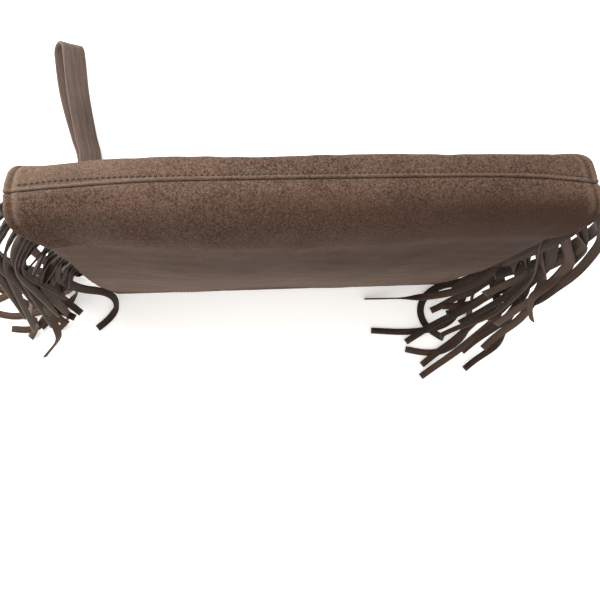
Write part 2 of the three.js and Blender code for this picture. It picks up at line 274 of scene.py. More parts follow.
class Graph:
    """A node tree that is written by calls and expressions."""

    def __init__(self, tree: bpy.types.NodeTree) -> None:
        self.tree = tree

    def node(
        self,
        kind: str,
        settings: Mapping[str, object],
        inputs: Mapping[Union[str, int], Input],
        output: Union[str, int] = 0,
    ) -> Wire:
        """Adds a node.

        Args:
            kind: The node's type.
            settings: Its own properties, set first.
            inputs: What each socket is linked to or set to.
            output: The output that is wanted.

        Returns:
            That output.
        """
        made = self.tree.nodes.new(kind)
        for name, value in settings.items():
            setattr(made, name, value)
        self._fill(made, inputs)
        return Wire(self, made.outputs[output])

    def sink(self, kind: str, inputs: Mapping[Union[str, int], Input]) -> None:
        """Adds a node that ends the graph, with what its sockets are linked to or set to."""
        self._fill(self.tree.nodes.new(kind), inputs)

    def _fill(self, made: bpy.types.Node, inputs: Mapping[Union[str, int], Input]) -> None:
        """Links or sets a node's sockets."""
        for key, value in inputs.items():
            if isinstance(value, Wire):
                self.tree.links.new(value.socket, made.inputs[key])
            else:
                made.inputs[key].default_value = value

    def mix(self, share: Input, first: Input, second: Input, how: str = "MIX") -> Wire:
        """Two colours mixed."""
        settings = {"data_type": "RGBA", "blend_type": how}
        return self.node("ShaderNodeMix", settings, {0: share, 6: first, 7: second}, 2)

    def vector(self, operation: str, first: Input, second: Input) -> Wire:
        """Two vectors combined."""
        settings = {"operation": operation}
        return self.node("ShaderNodeVectorMath", settings, {0: first, 1: second})

    def attribute(self, name: str) -> Wire:
        """A number stored on the mesh."""
        return self.node("ShaderNodeAttribute", {"attribute_name": name}, {}, "Fac")


class Finish:
    """A material in the making: its graph, and the noises that finishes share."""

    def __init__(self, name: str) -> None:
        self.material = bpy.data.materials.new(name)
        self.material.use_nodes = True
        self.material.node_tree.nodes.clear()
        self.graph = Graph(self.material.node_tree)
        self.place = self.graph.node("ShaderNodeTexCoord", {}, {}, "Object")

    def noise(
        self, scale: float, detail: float = 2.0, stretch: Optional[tuple] = None, rough: float = 0.55
    ) -> Wire:
        """Noise from 0 to 1.

        Args:
            scale: Features to the metre.
            detail: Octaves of finer noise.
            stretch: Factors on X, Y and Z, above 1 where the features are narrower.
            rough: Strength of each finer octave.
        """
        place = self.place
        if stretch:
            place = self.graph.vector("MULTIPLY", place, stretch)
        inputs = {"Vector": place, "Scale": scale, "Detail": detail, "Roughness": rough}
        return self.graph.node("ShaderNodeTexNoise", {}, inputs)

    def bump(self, height: Wire, distance: float, strength: float, under: Optional[Wire] = None) -> Wire:
        """A normal that is bent by a height.

        Args:
            height: The height, about 0 to 1.
            distance: The depth that 1 stands for, in metres.
            strength: How much of it shows.
            under: A normal that this one is added to.
        """
        inputs = {"Height": height, "Distance": distance, "Strength": strength}
        if under is not None:
            inputs["Normal"] = under
        return self.graph.node("ShaderNodeBump", {}, inputs)

    def done(self, inputs: Mapping[str, Input]) -> bpy.types.Material:
        """Adds the surface shader with these inputs and the output.

        Args:
            inputs: What each of its sockets is linked to or set to.

        Returns:
            The finished material.
        """
        surface = self.graph.node("ShaderNodeBsdfPrincipled", {}, inputs)
        self.graph.sink("ShaderNodeOutputMaterial", {"Surface": surface})
        return self.material


# ---- Finishes -----------------------------------------------------------------------------


@dataclass(frozen=True)
class SuedeFinish:
    """Napped suede: mottled nap, brushed patches, and a soft sheen at grazing angles. Its colour also
    holds painted shade in the seam grooves and towards the front and right, painted light at the back
    left of the base, and a paler painted sheen towards the mouth.
    """

    name: str
    dark: str = "2f221b"
    light: str = "6d584b"
    # warm: a redder tone, in random broad patches and also under the painted shade.
    warm: str = "4a2c21"
    # pale: the paler colour towards the mouth, a painted sheen.
    pale: str = "604f45"
    # deep: the painted shade colour, towards the front and the right.
    deep: str = "21160f"
    # The colour of wear on the seam ridges, and of the painted light at the back left.
    rubbed_and_lit: str = "8d7869"
    # The painted shade colour in the seam grooves and tucked corners.
    crease_shade_colour: str = "150f0c"
    glow: str = "c4ada0"
    nap_contrast: float = 3.2
    patch_contrast: float = 0.85
    streak: float = 0.22
    sheen: float = 0.09
    # How far wear on the ridges and the painted light lighten the suede.
    wear_and_light_share: float = 0.2

    def build(self) -> bpy.types.Material:
        """The material."""
        finish = Finish(self.name)
        graph = finish.graph
        nap = finish.noise(1500.0, 2.0, (1.0, 1.0, 0.6), 0.7)
        clump = finish.noise(620.0, 2.0, (1.0, 1.0, 0.6))
        patch = finish.noise(34.0, 3.0)
        broad = finish.noise(9.0, 1.0)
        brushed = finish.noise(14.0, 3.0, (0.5, 3.0, 7.0))
        # Smoother nap towards the mouth, and a paler colour there as a painted sheen.
        calm_nap_and_painted_sheen = graph.attribute("calm_nap_and_painted_sheen")
        lively = 1.0 - calm_nap_and_painted_sheen * 0.6
        tone = (nap - 0.5) * self.nap_contrast * lively + (clump - 0.5) * lively + 0.5
        tone = tone + (patch - 0.5) * self.patch_contrast + (brushed - 0.5) * self.streak * 2.0
        base = graph.mix(tone.clamp(), paint(self.dark), paint(self.light))
        # Painted shade: darker ahead of the base seam, high on the front face and towards the right.
        shade = graph.attribute("shade")
        base = graph.mix(shade, base, paint(self.deep))
        # Redder in random broad patches, and more so under the painted shade.
        redness = ((broad - 0.42) * 2.2).clamp() * 0.2 + shade * 0.35
        base = graph.mix(redness, base, graph.mix(tone.clamp(), paint(self.warm), base))
        base = graph.mix(calm_nap_and_painted_sheen * 0.55, base, paint(self.pale))
        # Wear on the seam ridges, plus painted light on the back left of the base.
        wear_and_painted_light = graph.attribute("wear_and_painted_light") * self.wear_and_light_share
        base = graph.mix(wear_and_painted_light, base, paint(self.rubbed_and_lit))
        # Painted shade in the seam grooves and along the tucked corners.
        crease_shade = graph.attribute("crease_shade")
        base = graph.mix(crease_shade * 0.6, base, paint(self.crease_shade_colour))
        height = nap * 0.6 + clump * 0.4
        fuzz = finish.bump(height, 0.5 * MM, 0.55)
        normal = finish.bump(patch, 1.6 * MM, 0.35, fuzz)
        return finish.done({
            "Base Color": base,
            "Roughness": 0.94,
            "Specular IOR Level": 0.12,
            "Sheen Weight": self.sheen,
            "Sheen Roughness": 0.45,
            "Sheen Tint": paint(self.glow),
            "Normal": normal,
        })


@dataclass(frozen=True)
class BandFinish:
    """Split suede as cut into straps: smoother, with streaks along the cut and pale edges."""

    name: str
    dark: str
    light: str
    edge: str
    glow: str = "b8a79c"
    streak_contrast: float = 1.5
    nap_contrast: float = 1.2
    patch_contrast: float = 0.8

    def build(self) -> bpy.types.Material:
        """The material. The band's own UV map runs across and along it in metres."""
        finish = Finish(self.name)
        graph = finish.graph
        finish.place = graph.node("ShaderNodeUVMap", {"uv_map": "along"}, {})
        streak = finish.noise(160.0, 3.0, (3.0, 0.16, 1.0))
        nap = finish.noise(900.0, 2.0, (1.0, 0.8, 1.0), 0.65)
        patch = finish.noise(30.0, 2.0)
        tone = (streak - 0.5) * self.streak_contrast + (nap - 0.5) * self.nap_contrast
        # The stored tone differs at random from strand to strand, and is lower near the fringe's roots
        # and on its header as painted shade.
        tone = tone + (patch - 0.5) * self.patch_contrast + graph.attribute("tone") * 0.5 + 0.5
        base = graph.mix(tone.clamp(), paint(self.dark), paint(self.light))
        base = graph.mix(graph.attribute("cut") * 0.55, base, paint(self.edge))
        height = nap * 0.55 + streak * 0.45
        normal = finish.bump(height, 0.35 * MM, 0.45)
        return finish.done({
            "Base Color": base,
            "Roughness": 0.86,
            "Specular IOR Level": 0.2,
            "Sheen Weight": 0.22,
            "Sheen Roughness": 0.5,
            "Sheen Tint": paint(self.glow),
            "Normal": normal,
        })


@dataclass(frozen=True)
class ClothFinish:
    """Woven cloth: two crossed sets of yarns with a slub here and there."""

    name: str
    dark: str
    light: str
    yarns: float = 1500.0
    slant: float = 0.0

    def build(self) -> bpy.types.Material:
        """The material."""
        finish = Finish(self.name)
        graph = finish.graph
        turned = graph.node(
            "ShaderNodeMapping", {}, {"Vector": finish.place, "Rotation": (0.0, 0.0, self.slant)}
        )
        across, along, up = (
            graph.node("ShaderNodeSeparateXYZ", {}, {"Vector": turned}, axis) for axis in "XYZ"
        )
        warp = self._yarn(graph, across * self.yarns)
        weft = self._yarn(graph, (along + up) * self.yarns)
        slub = finish.noise(120.0, 3.0)
        weave = warp * 0.5 + weft * 0.5
        tone = weave * 0.6 + (slub - 0.5) * 0.9 + 0.2
        base = graph.mix(tone.clamp(), paint(self.dark), paint(self.light))
        return finish.done({
            "Base Color": base,
            "Roughness": 0.88,
            "Specular IOR Level": 0.2,
            "Sheen Weight": 0.15,
            "Normal": finish.bump(weave, 0.15 * MM, 0.6),
        })

    @staticmethod
    def _yarn(graph: Graph, turns: Wire) -> Wire:
        """Rounded ridges from 0 to 1, one for each yarn."""
        wave = graph.node("ShaderNodeMath", {"operation": "SINE"}, {0: turns * (2 * math.pi)})
        return wave * 0.5 + 0.5


@dataclass(frozen=True)
class BrassFinish:
    """Dull antique brass, darker in its hollows and finely scratched."""

    name: str
    bright: str = "b2935e"
    dull: str = "5a4226"

    def build(self) -> bpy.types.Material:
        """The material."""
        finish = Finish(self.name)
        graph = finish.graph
        stain = finish.noise(260.0, 4.0)
        scratch = finish.noise(500.0, 2.0, (0.15, 3.0, 3.0), 0.7)
        tone = (stain - 0.35) * 1.8 + (scratch - 0.5) * 0.4
        base = graph.mix(tone.clamp(), paint(self.dull), paint(self.bright))
        rough = (0.5 - (stain - 0.5) * 0.5 + (scratch - 0.5) * 0.2).clamp()
        return finish.done({
            "Base Color": base,
            "Metallic": 1.0,
            "Roughness": rough,
            "Normal": finish.bump(scratch * 0.6 + stain * 0.4, 0.03 * MM, 0.4),
        })


@dataclass(frozen=True)
class ThreadFinish:
    """Twisted sewing thread."""

    name: str
    dark: str = "16100c"
    light: str = "3d2d24"

    def build(self) -> bpy.types.Material:
        """The material."""
        finish = Finish(self.name)
        graph = finish.graph
        twist = finish.noise(2600.0, 1.0)
        base = graph.mix(twist, paint(self.dark), paint(self.light))
        return finish.done({
            "Base Color": base,
            "Roughness": 0.7,
            "Normal": finish.bump(twist, 0.08 * MM, 0.5),
        })


@dataclass(frozen=True)
class FloorFinish:
    """A plain pale table top, lit a little from below."""

    name: str = "pale_table"
    dark: str = "f6f5f3"
    light: str = "fbfaf8"
    glow: float = 0.3

    def build(self) -> bpy.types.Material:
        """The material."""
        finish = Finish(self.name)
        cloud = finish.noise(3.0, 2.0)
        base = finish.graph.mix(cloud, paint(self.dark), paint(self.light))
        return finish.done({
            "Base Color": base,
            "Roughness": 0.9,
            "Specular IOR Level": 0.1,
            "Emission Color": (1.0, 1.0, 1.0, 1.0),
            "Emission Strength": self.glow,
        })


# ---- Rows of copies, and stitches ---------------------------------------------------------


class Row:
    """A node tree in the making, which lays copies of one small part along points.

    Attributes:
        graph: The tree's graph.
        given: The tree's inputs, in the order of their kinds.
    """

    def __init__(self, name: str, kinds: Mapping[str, str]) -> None:
        tree = bpy.data.node_groups.new(name, "GeometryNodeTree")
        self._keys = {
            label: tree.interface.new_socket(label, in_out="INPUT", socket_type=kind).identifier
            for label, kind in kinds.items()
        }
        tree.interface.new_socket("Geometry", in_out="OUTPUT", socket_type="NodeSocketGeometry")
        self.graph = Graph(tree)
        entry = self.graph.node("NodeGroupInput", {}, {}).socket.node
        self.given = [Wire(self.graph, entry.outputs[label]) for label in kinds]

    def lay(self, inputs: Mapping[str, Input], finish: bpy.types.Material) -> None:
        """Ends the tree: the part on each point, made real and dressed."""
        laid = self.graph.node("GeometryNodeInstanceOnPoints", {}, inputs)
        real = self.graph.node("GeometryNodeRealizeInstances", {}, {"Geometry": laid})
        dressed = self.graph.node(
            "GeometryNodeSetMaterial", {}, {"Geometry": real, "Material": finish}
        )
        self.graph.sink("NodeGroupOutput", {0: dressed})

    def run(self, thing: bpy.types.Object, values: Mapping[str, object]) -> None:
        """Runs the tree on an object, and keeps the result as its plain mesh."""
        layer = thing.modifiers.new("row", "NODES")
        layer.node_group = self.graph.tree
        for label, value in values.items():
            layer[self._keys[label]] = value
        settle(thing)


@dataclass(frozen=True)
class StitchRow:
    """A row of stitches along a line, laid by a node tree."""

    pitch: float = 2.5 * MM
    length: float = 1.9 * MM
    radius: float = 0.38 * MM
    slant: float = 0.12

    def sew(self, name: str, line: Grid, thread: bpy.types.Material) -> bpy.types.Object:
        """Sews the row.

        Args:
            name: The piece's name.
            line: The points of the row, in order.
            thread: The thread's material.

        Returns:
            The stitches as plain mesh.
        """
        mesh = bpy.data.meshes.new(name)
        edges = [(at, at + 1) for at in range(len(line) - 1)]
        mesh.from_pydata([tuple(p) for p in line], edges, [])
        stitches = linked(name, mesh)
        values = {"Pitch": self.pitch, "Length": self.length, "Radius": self.radius}
        self._tree(thread).run(stitches, values)
        stitches.data.shade_smooth()
        return stitches

    def _tree(self, thread: bpy.types.Material) -> Row:
        """The tree that lays a bead of thread at each pitch, turned along the line."""
        kinds = dict.fromkeys(("Pitch", "Length", "Radius"), "NodeSocketFloat")
        row = Row("stitch_row", {"Geometry": "NodeSocketGeometry", **kinds})
        graph = row.graph
        line, pitch, length, radius = row.given
        curve = graph.node("GeometryNodeMeshToCurve", {}, {"Mesh": line})
        places = graph.node(
            "GeometryNodeResampleCurve", {"mode": "LENGTH"}, {"Curve": curve, "Length": pitch}
        )
        bead = graph.node(
            "GeometryNodeMeshUVSphere", {}, {"Segments": 6, "Rings": 5, "Radius": 1.0}
        )
        size = graph.node(
            "ShaderNodeCombineXYZ", {}, {"X": length * 0.5, "Y": radius, "Z": radius}
        )
        stitch = graph.node("GeometryNodeTransform", {}, {
            "Geometry": bead, "Scale": size, "Rotation": (0.0, 0.0, self.slant),
        })
        tangent = graph.node("GeometryNodeInputTangent", {}, {})
        turn = graph.node(
            "FunctionNodeAlignRotationToVector", {"axis": "X"}, {"Vector": tangent}
        )
        row.lay({"Points": places, "Instance": stitch, "Rotation": turn}, thread)
        return row


# ---- The bag's body -----------------------------------------------------------------------


class Side(Enum):
    """The two halves of the body, by the sign of their place along Y."""

    FRONT = -1
    BACK = 1


class End(Enum):
    """The two ends of the body, by the sign of their place along X."""

    LEFT = -1
    RIGHT = 1


@dataclass
class BodyShape:
    """The outline of the suede body at each height, in the bag's own axes."""

    height: float
    mouth_half_width: float
    mouth_half_depth: float = 15.0 * MM
    base_half_width: float = 132.5 * MM
    base_half_depth: float = 18.5 * MM
    belly: float = 4.5 * MM
    corner: float = 9.0 * MM
    front_fold: float = 13.0 * MM
    back_fold: float = 7.0 * MM
    front_drop: float = 26.0 * MM
    seam_arch: float = 6.2 * MM
    seam_end: float = 2.2 * MM
    hem_stitch: float = 10.0 * MM

    def half_width(self, z: Union[float, Grid]) -> Union[float, Grid]:
        """Half the outside width at height z."""
        return lerp(self.mouth_half_width, self.base_half_width, smooth(z / self.height))

    def half_depth(self, z: Union[float, Grid]) -> Union[float, Grid]:
        """Half the outside depth at the corners at height z."""
        return lerp(self.mouth_half_depth, self.base_half_depth, np.clip(z / self.height, 0, 1))

    def fold(self, side: Side) -> float:
        """The radius of the turn from a face to the base: the front one is slack."""
        return self.front_fold if side is Side.FRONT else self.back_fold

    def drop(self, side: Side) -> float:
        """The height over which a face turns to the base."""
        return self.front_drop if side is Side.FRONT else self.back_fold

    def side_seam(self, z: Union[float, Grid]) -> Union[float, Grid]:
        """Where the side seams run, along Y."""
        return self.seam_end * smooth(z / self.height)

    def base_seam(self, x: Union[float, Grid]) -> Union[float, Grid]:
        """Where the base seam runs, along Y: it dips to meet the side seams."""
        share = np.abs(x) / self.base_half_width
        return lerp(self.seam_arch, self.seam_end, np.clip(share, 0, 1) ** 6)

    def swell(self, points: Grid) -> Grid:
        """The belly of the front and back at each point, along Y."""
        share = np.clip(points[..., 2] / self.height, 0, 1)
        rise = self.belly * np.sin(np.pi * np.minimum(1, 1.02 * share))
        across = 1 - (points[..., 0] / self.half_width(points[..., 2])) ** 2
        return rise * np.clip(across, 0, 1) * points[..., 1] / self.half_depth(points[..., 2])

    def outside(self, points: Grid, clear: float) -> Grid:
        """The points moved out of the body, to stay `clear` of it."""
        z = points[:, 2]
        middle = self.swell(np.stack([points[:, 0], self.half_depth(z), z], axis=1))
        reach = np.stack([self.half_width(z), self.half_depth(z) + middle], axis=1) - self.corner
        beyond = np.abs(points[:, :2]) - reach
        outer = np.maximum(beyond, 0)
        gap = np.linalg.norm(outer, axis=1) + np.minimum(beyond.max(axis=1), 0)
        push = np.maximum(self.corner + clear - gap, 0) * (z < self.height + clear)
        wide = beyond[:, 0] > beyond[:, 1]
        flat = np.stack([wide, ~wide], axis=1).astype(float)
        way = np.where(outer.sum(axis=1, keepdims=True) > 0, unit(outer), flat)
        moved = points.copy()
        moved[:, :2] += way * np.sign(points[:, :2]) * push[:, None]
        return moved


@dataclass
class PanelSizes:
    """How finely a body panel is built, and what its seams look like."""

    inset: float = 0.0
    thickness: float = 1.6 * MM
    hem: float = 3.0 * MM
    hem_height: float = 12.0 * MM
    strap_gap: float = 2.6 * MM
    bottom: float = 0.0
    gap: float = 0.12 * MM
    columns: int = 132
    rows: int = 112
    fold_rows: int = 9
    base_rows: int = 16


@dataclass(frozen=True)
class Slack:
    """How far an empty shell strays from its plain outline."""

    lean: float = 3.4 * MM
    bow: float = 1.3 * MM
    pinch: float = 3.4 * MM
    puff: float = 3.6 * MM
    push: float = 2.4 * MM


@dataclass(frozen=True)
class Relief:
    """How high each wave stands and how deep each groove is, in millimetres."""

    long_wave: float = 1.35
    short_wave: float = 0.55
    fine_wave: float = 0.16
    base_rise: float = 0.9
    seam_groove: float = 0.55
    seam_ridge: float = 0.2
    stitch_groove: float = 0.25
    tuck_groove: float = 0.8
    tuck_ridge: float = 0.4
    hem_groove: float = 0.25


@dataclass
class Panel:
    """One half of a body shell: a face, a turned-over base and two boxed ends."""

    name: str
    side: Side
    body: BodyShape
    origin: Vector
    sizes: PanelSizes = field(default_factory=PanelSizes)
    slack: Slack = Slack()
    relief: Relief = Relief()
    far: float = 1.0

    def build(self, wrinkle: float, finish: bpy.types.Material) -> bpy.types.Object:
        """Makes the panel.

        Args:
            wrinkle: How uneven the cloth lies, 1 for the suede.
            finish: Its material.

        Returns:
            The panel as a closed wall of its own thickness.
        """
        points, faces, seam, end_seam = self._grid()
        thing = mesh_object(self.name, points, faces, {"seam": seam, "end_seam": end_seam})
        self._face_outwards(thing)
        self._spread(thing)
        self._press(thing, wrinkle)
        sizes = self.sizes
        hemmed = corners(thing)[:, 2] < sizes.bottom + sizes.hem_height
        depth = sizes.thickness + hemmed * (sizes.hem - sizes.thickness)
        # Both faces keep the painted seam shade, the wear and painted light, the smoother nap with its
        # painted sheen, and the painted shade.
        thicken(thing, depth, ("crease_shade", "wear_and_painted_light", "calm_nap_and_painted_sheen", "shade"))
        place_corners(thing, corners(thing) + np.array(self.origin))
        dress(thing, finish)
        return thing

    def _edge_path(self) -> Grid:
        """Turn and share of the way to the seam for each row past the face's last one."""
        sizes = self.sizes
        turn = np.linspace(0, np.pi / 2, sizes.fold_rows + 1)[1:]
        share = (np.arange(sizes.base_rows) + 1) / sizes.base_rows
        share = 1 - (1 - share) ** 1.6
        folds = np.stack([turn, np.zeros_like(turn)], axis=1)
        bases = np.stack([np.full_like(share, np.pi / 2), share], axis=1)
        return np.concatenate([folds, bases])

    def _reach(self, z: Union[float, Grid]) -> tuple[Union[float, Grid], Union[float, Grid]]:
        """Half the shell's width and half its depth at height z."""
        inset = self.sizes.inset
        return self.body.half_width(z) - inset, self.body.half_depth(z) - inset

    def _corner(self, z: Union[float, Grid]) -> Union[float, Grid]:
        """The radius of the shell's upright corners at height z."""
        turned = self.body.fold(self.side)
        return lerp(self.body.corner, turned, smooth(z / self.body.height)) - self.sizes.inset * 0.5

    def _main(self) -> Grid:
        """The face and the base as rows of points: up the face, over the fold, to the seam."""
        body, sizes, way = self.body, self.sizes, self.side.value
        across = np.linspace(-1, 1, sizes.columns + 1)
        across = 1.15 * across - 0.15 * across * np.abs(across) ** 5
        top = body.height - sizes.inset
        fold = body.fold(self.side) - sizes.inset * 0.5
        drop = body.drop(self.side) - sizes.inset * 0.5
        rows = []
        for z in np.linspace(sizes.bottom, top - drop, sizes.rows + 1):
            width, depth = self._reach(z)
            x = across * (width - self._corner(z))
            rows.append(np.stack([x, np.full_like(x, way * depth), np.full_like(x, z)], axis=1))
        width, depth = self._reach(top)
        for turn, share in self._edge_path():
            x = across * (width - fold + fold * math.sin(turn))
            start = way * (depth - fold * (1 - math.cos(turn)))
            y = lerp(start, body.base_seam(x) + way * sizes.gap, share)
            z = top - drop + drop * math.sin(turn)
            rows.append(np.stack([x, y, np.full_like(x, z)], axis=1))
        return np.array(rows)

    def _end_strip(self, main: Grid, end: End) -> Grid:
        """The half of an end wall from the face's corner to the side seam, in columns."""
        body, sizes, way = self.body, self.sizes, self.side.value
        boundary = main[sizes.rows :, 0 if end is End.LEFT else -1]
        columns = []
        for top, (turn, share) in zip(boundary[1:], self._edge_path()):
            z = lerp(sizes.bottom, top[2], np.linspace(0, 1, sizes.rows + 1))
            corner = self._corner(z)
            width, depth = self._reach(z)
            x = width - corner + corner * math.sin(turn)
            start = way * (depth - corner * (1 - math.cos(turn)))
            gap = sizes.gap + self._strap_room(z) * (end is End.LEFT)
            y = lerp(start, body.side_seam(z) + way * gap, share)
            column = np.stack([end.value * x, y, z], axis=1)
            column[-1] = top
            columns.append(column)
        return np.array(columns)

    def _grid(self) -> tuple[Grid, list[tuple[int, ...]], Grid, Grid]:
        """Points, faces, and each point's distance to its seam and to its boxed end seam."""
        body, sizes = self.body, self.sizes
        main = self._main()
        past = main[sizes.rows :]
        seam, edge = np.full((2, *main.shape[:2]), self.far)
        seam[sizes.rows :] = np.abs(past[..., 1] - body.base_seam(past[..., 0]))
        edge[sizes.rows :] = np.abs(np.abs(past[..., 0]) - np.abs(past[:, :1, 0]))
        points, seams, edges = [main.reshape(-1, 3)], [seam.ravel()], [edge.ravel()]
        faces = quads(*main.shape[:2])
        start = seam.size
        for end in End:
            first = main[: sizes.rows + 1, 0 if end is End.LEFT else -1]
            wall = np.concatenate([first[None], self._end_strip(main, end)])
            points.append(wall.reshape(-1, 3))
            seams.append(np.abs(wall[..., 1] - body.side_seam(wall[..., 2])).ravel())
            edges.append((wall[:, -1:, 2] - wall[..., 2]).ravel())
            faces += quads(*wall.shape[:2], start)
            start += wall.shape[0] * wall.shape[1]
        return np.concatenate(points), faces, np.concatenate(seams), np.concatenate(edges)

    def _strap_room(self, z: Grid) -> Grid:
        """How far the left seam opens at height z, where the strap's two ends pass through."""
        above = smooth((z - 2 * MM) / (3 * MM))
        below = smooth((28 * MM - z) / (4 * MM))
        return self.sizes.strap_gap * above * below

    def _face_outwards(self, thing: bpy.types.Object) -> None:
        """Turns the faces over if the sheet's outward side is its inner one."""
        if (normals(thing)[:, 1] * self.side.value).sum() < 0:
            thing.data.flip_normals()

    def _spread(self, thing: bpy.types.Object) -> None:
        """Lets the shell belly out, lean and bow as an empty soft bag does."""
        body, slack = self.body, self.slack
        points = corners(thing)
        x, y, z = points.T
        half = body.base_half_width
        high = smooth(z / body.height)
        points[:, 1] += body.swell(points)
        depth = y / body.base_half_depth
        to_right = smooth((x / half - 0.55) / 0.45) * high
        points[:, 0] -= slack.lean * depth * to_right
        bow = slack.bow * (1 - (x / half) ** 2) - slack.pinch * bell(x + half - 20 * MM, 30 * MM)
        near_base = smooth((z - 0.6 * body.height) / (0.4 * body.height))
        points[:, 1] += bow * np.clip(depth, 0, 1) * near_base
        wall = smooth((np.abs(x) - half + 8 * MM) / (7 * MM))
        puff = slack.puff * bell(body.height - z - 11 * MM, 12 * MM)
        points[:, 0] += np.sign(x) * puff * wall * (1 - 0.35 * depth**2)
        points[:, 0] += slack.push * smooth((y - 2 * MM) / (14 * MM)) * (x < 0) * wall * high
        place_corners(thing, points)

    def _seams(self, thing: bpy.types.Object, z: Grid) -> tuple[Grid, Grid, Grid, Grid]:
        """How each point lies to the sewing.

        Args:
            thing: The sheet.
            z: The points' heights.

        Returns:
            Distances to the seam and to the tucked corner, and 1 on the base and on the
            topstitched part of it.
        """
        on_base = smooth((z - self.body.height + 4 * MM) / (3 * MM))
        tuck = np.abs(stored(thing, "end_seam") - 2.3 * MM)
        return stored(thing, "seam"), tuck, on_base, on_base * (self.side is Side.BACK)

    def _press(self, thing: bpy.types.Object, wrinkle: float) -> None:
        """Presses in the seams, the stitched rows and the wrinkles."""
        body, relief, way = self.body, self.relief, self.side.value
        points, ways = corners(thing), normals(thing)
        z = points[:, 2]
        seam, tuck, on_base, topstitched = self._seams(thing, z)
        to_end = smooth(stored(thing, "end_seam") / (14 * MM))
        free = smooth(z / (25 * MM)) * smooth(seam / (16 * MM)) * to_end
        long_wave = Ripple(120 * MM, 11 + way, (1.0, 1.0, 1.9)).at(points)
        short_wave = Ripple(46 * MM, 21 + way, (1.0, 1.0, 1.4)).at(points)
        fine_wave = Ripple(17 * MM, 31 + way).at(points)
        amount = relief.long_wave * long_wave + relief.short_wave * short_wave
        amount = amount * free * (1 - 0.6 * on_base)
        amount += relief.fine_wave * fine_wave * (0.3 + 0.7 * free)
        amount += relief.base_rise * on_base * free * (self.side is Side.BACK)
        amount *= wrinkle
        amount -= relief.seam_groove * bell(seam, 0.6 * MM)
        amount += relief.seam_ridge * bell(seam - 1.2 * MM, 0.8 * MM) * (0.4 + 0.6 * topstitched)
        amount -= relief.stitch_groove * bell(seam - 2.4 * MM, 0.6 * MM) * topstitched
        amount -= relief.tuck_groove * bell(tuck, 0.7 * MM) * on_base
        amount += relief.tuck_ridge * bell(tuck - 2.2 * MM, 1.4 * MM) * on_base
        amount -= relief.hem_groove * bell(z - body.hem_stitch, 0.8 * MM) * wrinkle
        place_corners(thing, points + ways * amount[:, None] * MM)
        self._mark(thing, points)

    def _mark(self, thing: bpy.types.Object, points: Grid) -> None:
        """Stores where the finish gets painted shade in its seam grooves, wear and painted light,
        painted shade, and a smoother nap with a painted sheen.

        Args:
            thing: The sheet.
            points: Its points as they were before the seams were pressed in.
        """
        body, is_back = self.body, self.side is Side.BACK
        x, y, z = points.T
        seam, tuck, on_base, topstitched = self._seams(thing, z)
        # Painted shade in the seam groove and along the tucked corners.
        crease_shade = np.maximum(0.7 * bell(seam, 0.5 * MM), 0.6 * bell(tuck, 0.5 * MM) * on_base)
        store(thing, "crease_shade", crease_shade)
        # Wear on the raised ridges beside the seam and the tuck.
        stitched_ridge = bell(seam - 1.2 * MM, 0.7 * MM) * topstitched
        ridge = stitched_ridge + bell(tuck - 1.8 * MM, 1.2 * MM) * on_base
        # Painted light: the base behind the seam, lighter towards the left end.
        behind = smooth((y - body.base_seam(x) + 6 * MM) / (8 * MM))
        lit = behind * smooth((-x - 10 * MM) / (110 * MM))
        store(thing, "wear_and_painted_light", np.clip(ridge, 0, 1) + 1.2 * lit * on_base)
        # Painted shade: darker ahead of the base seam, high on the front face and towards the right.
        share = z / body.height
        ahead = smooth((body.base_seam(x) - y) / (15 * MM)) * smooth((share - 0.1) / 0.5)
        right = smooth((x + 60 * MM) / (190 * MM))
        front = 0.38 * bell(share - 0.76, 0.22) * (not is_back)
        store(thing, "shade", ahead * (0.31 + 0.2 * right + front) + 0.16 * right)
        # Smoother nap towards the mouth, paler there as a painted sheen; the back gets a little more.
        off_base = 0.25 * is_back * (1 - on_base)
        store(thing, "calm_nap_and_painted_sheen", smooth((0.8 - share) / 0.8 + off_base))


# ---- Flat bands: the fringe and the strap -------------------------------------------------


@dataclass(frozen=True)
class Section:
    """A flat band's cross-section, with eased corners and a slight cup across it."""

    width: float
    thickness: float
    ease: float = 0.25 * MM
    cup: float = 0.0
    taper: float = 1.0
    # shaded: painted shade that darkens the band near its start, over shaded_length.
    shaded: float = 0.0
    shaded_length: float = 42.0 * MM

    def ring(self) -> tuple[Grid, Grid]:
        """The outline's points, across and through the band, and 1 where it is a cut edge."""
        half, deep, ease = self.width / 2, self.thickness / 2, self.ease
        near = 1e-7
        across = np.array([
            half, half, half - ease, 0, ease - half, -half, -half, ease - half, 0, half - ease,
        ])
        through = np.array([
            ease - deep, deep - ease, deep, deep, deep, deep - ease, ease - deep, -deep, -deep, -deep,
        ])
        cut = (np.abs(across) > half - near).astype(float)
        through = through + self.cup * (1 - (across / half) ** 2)
        return np.stack([across, through], axis=1), cut


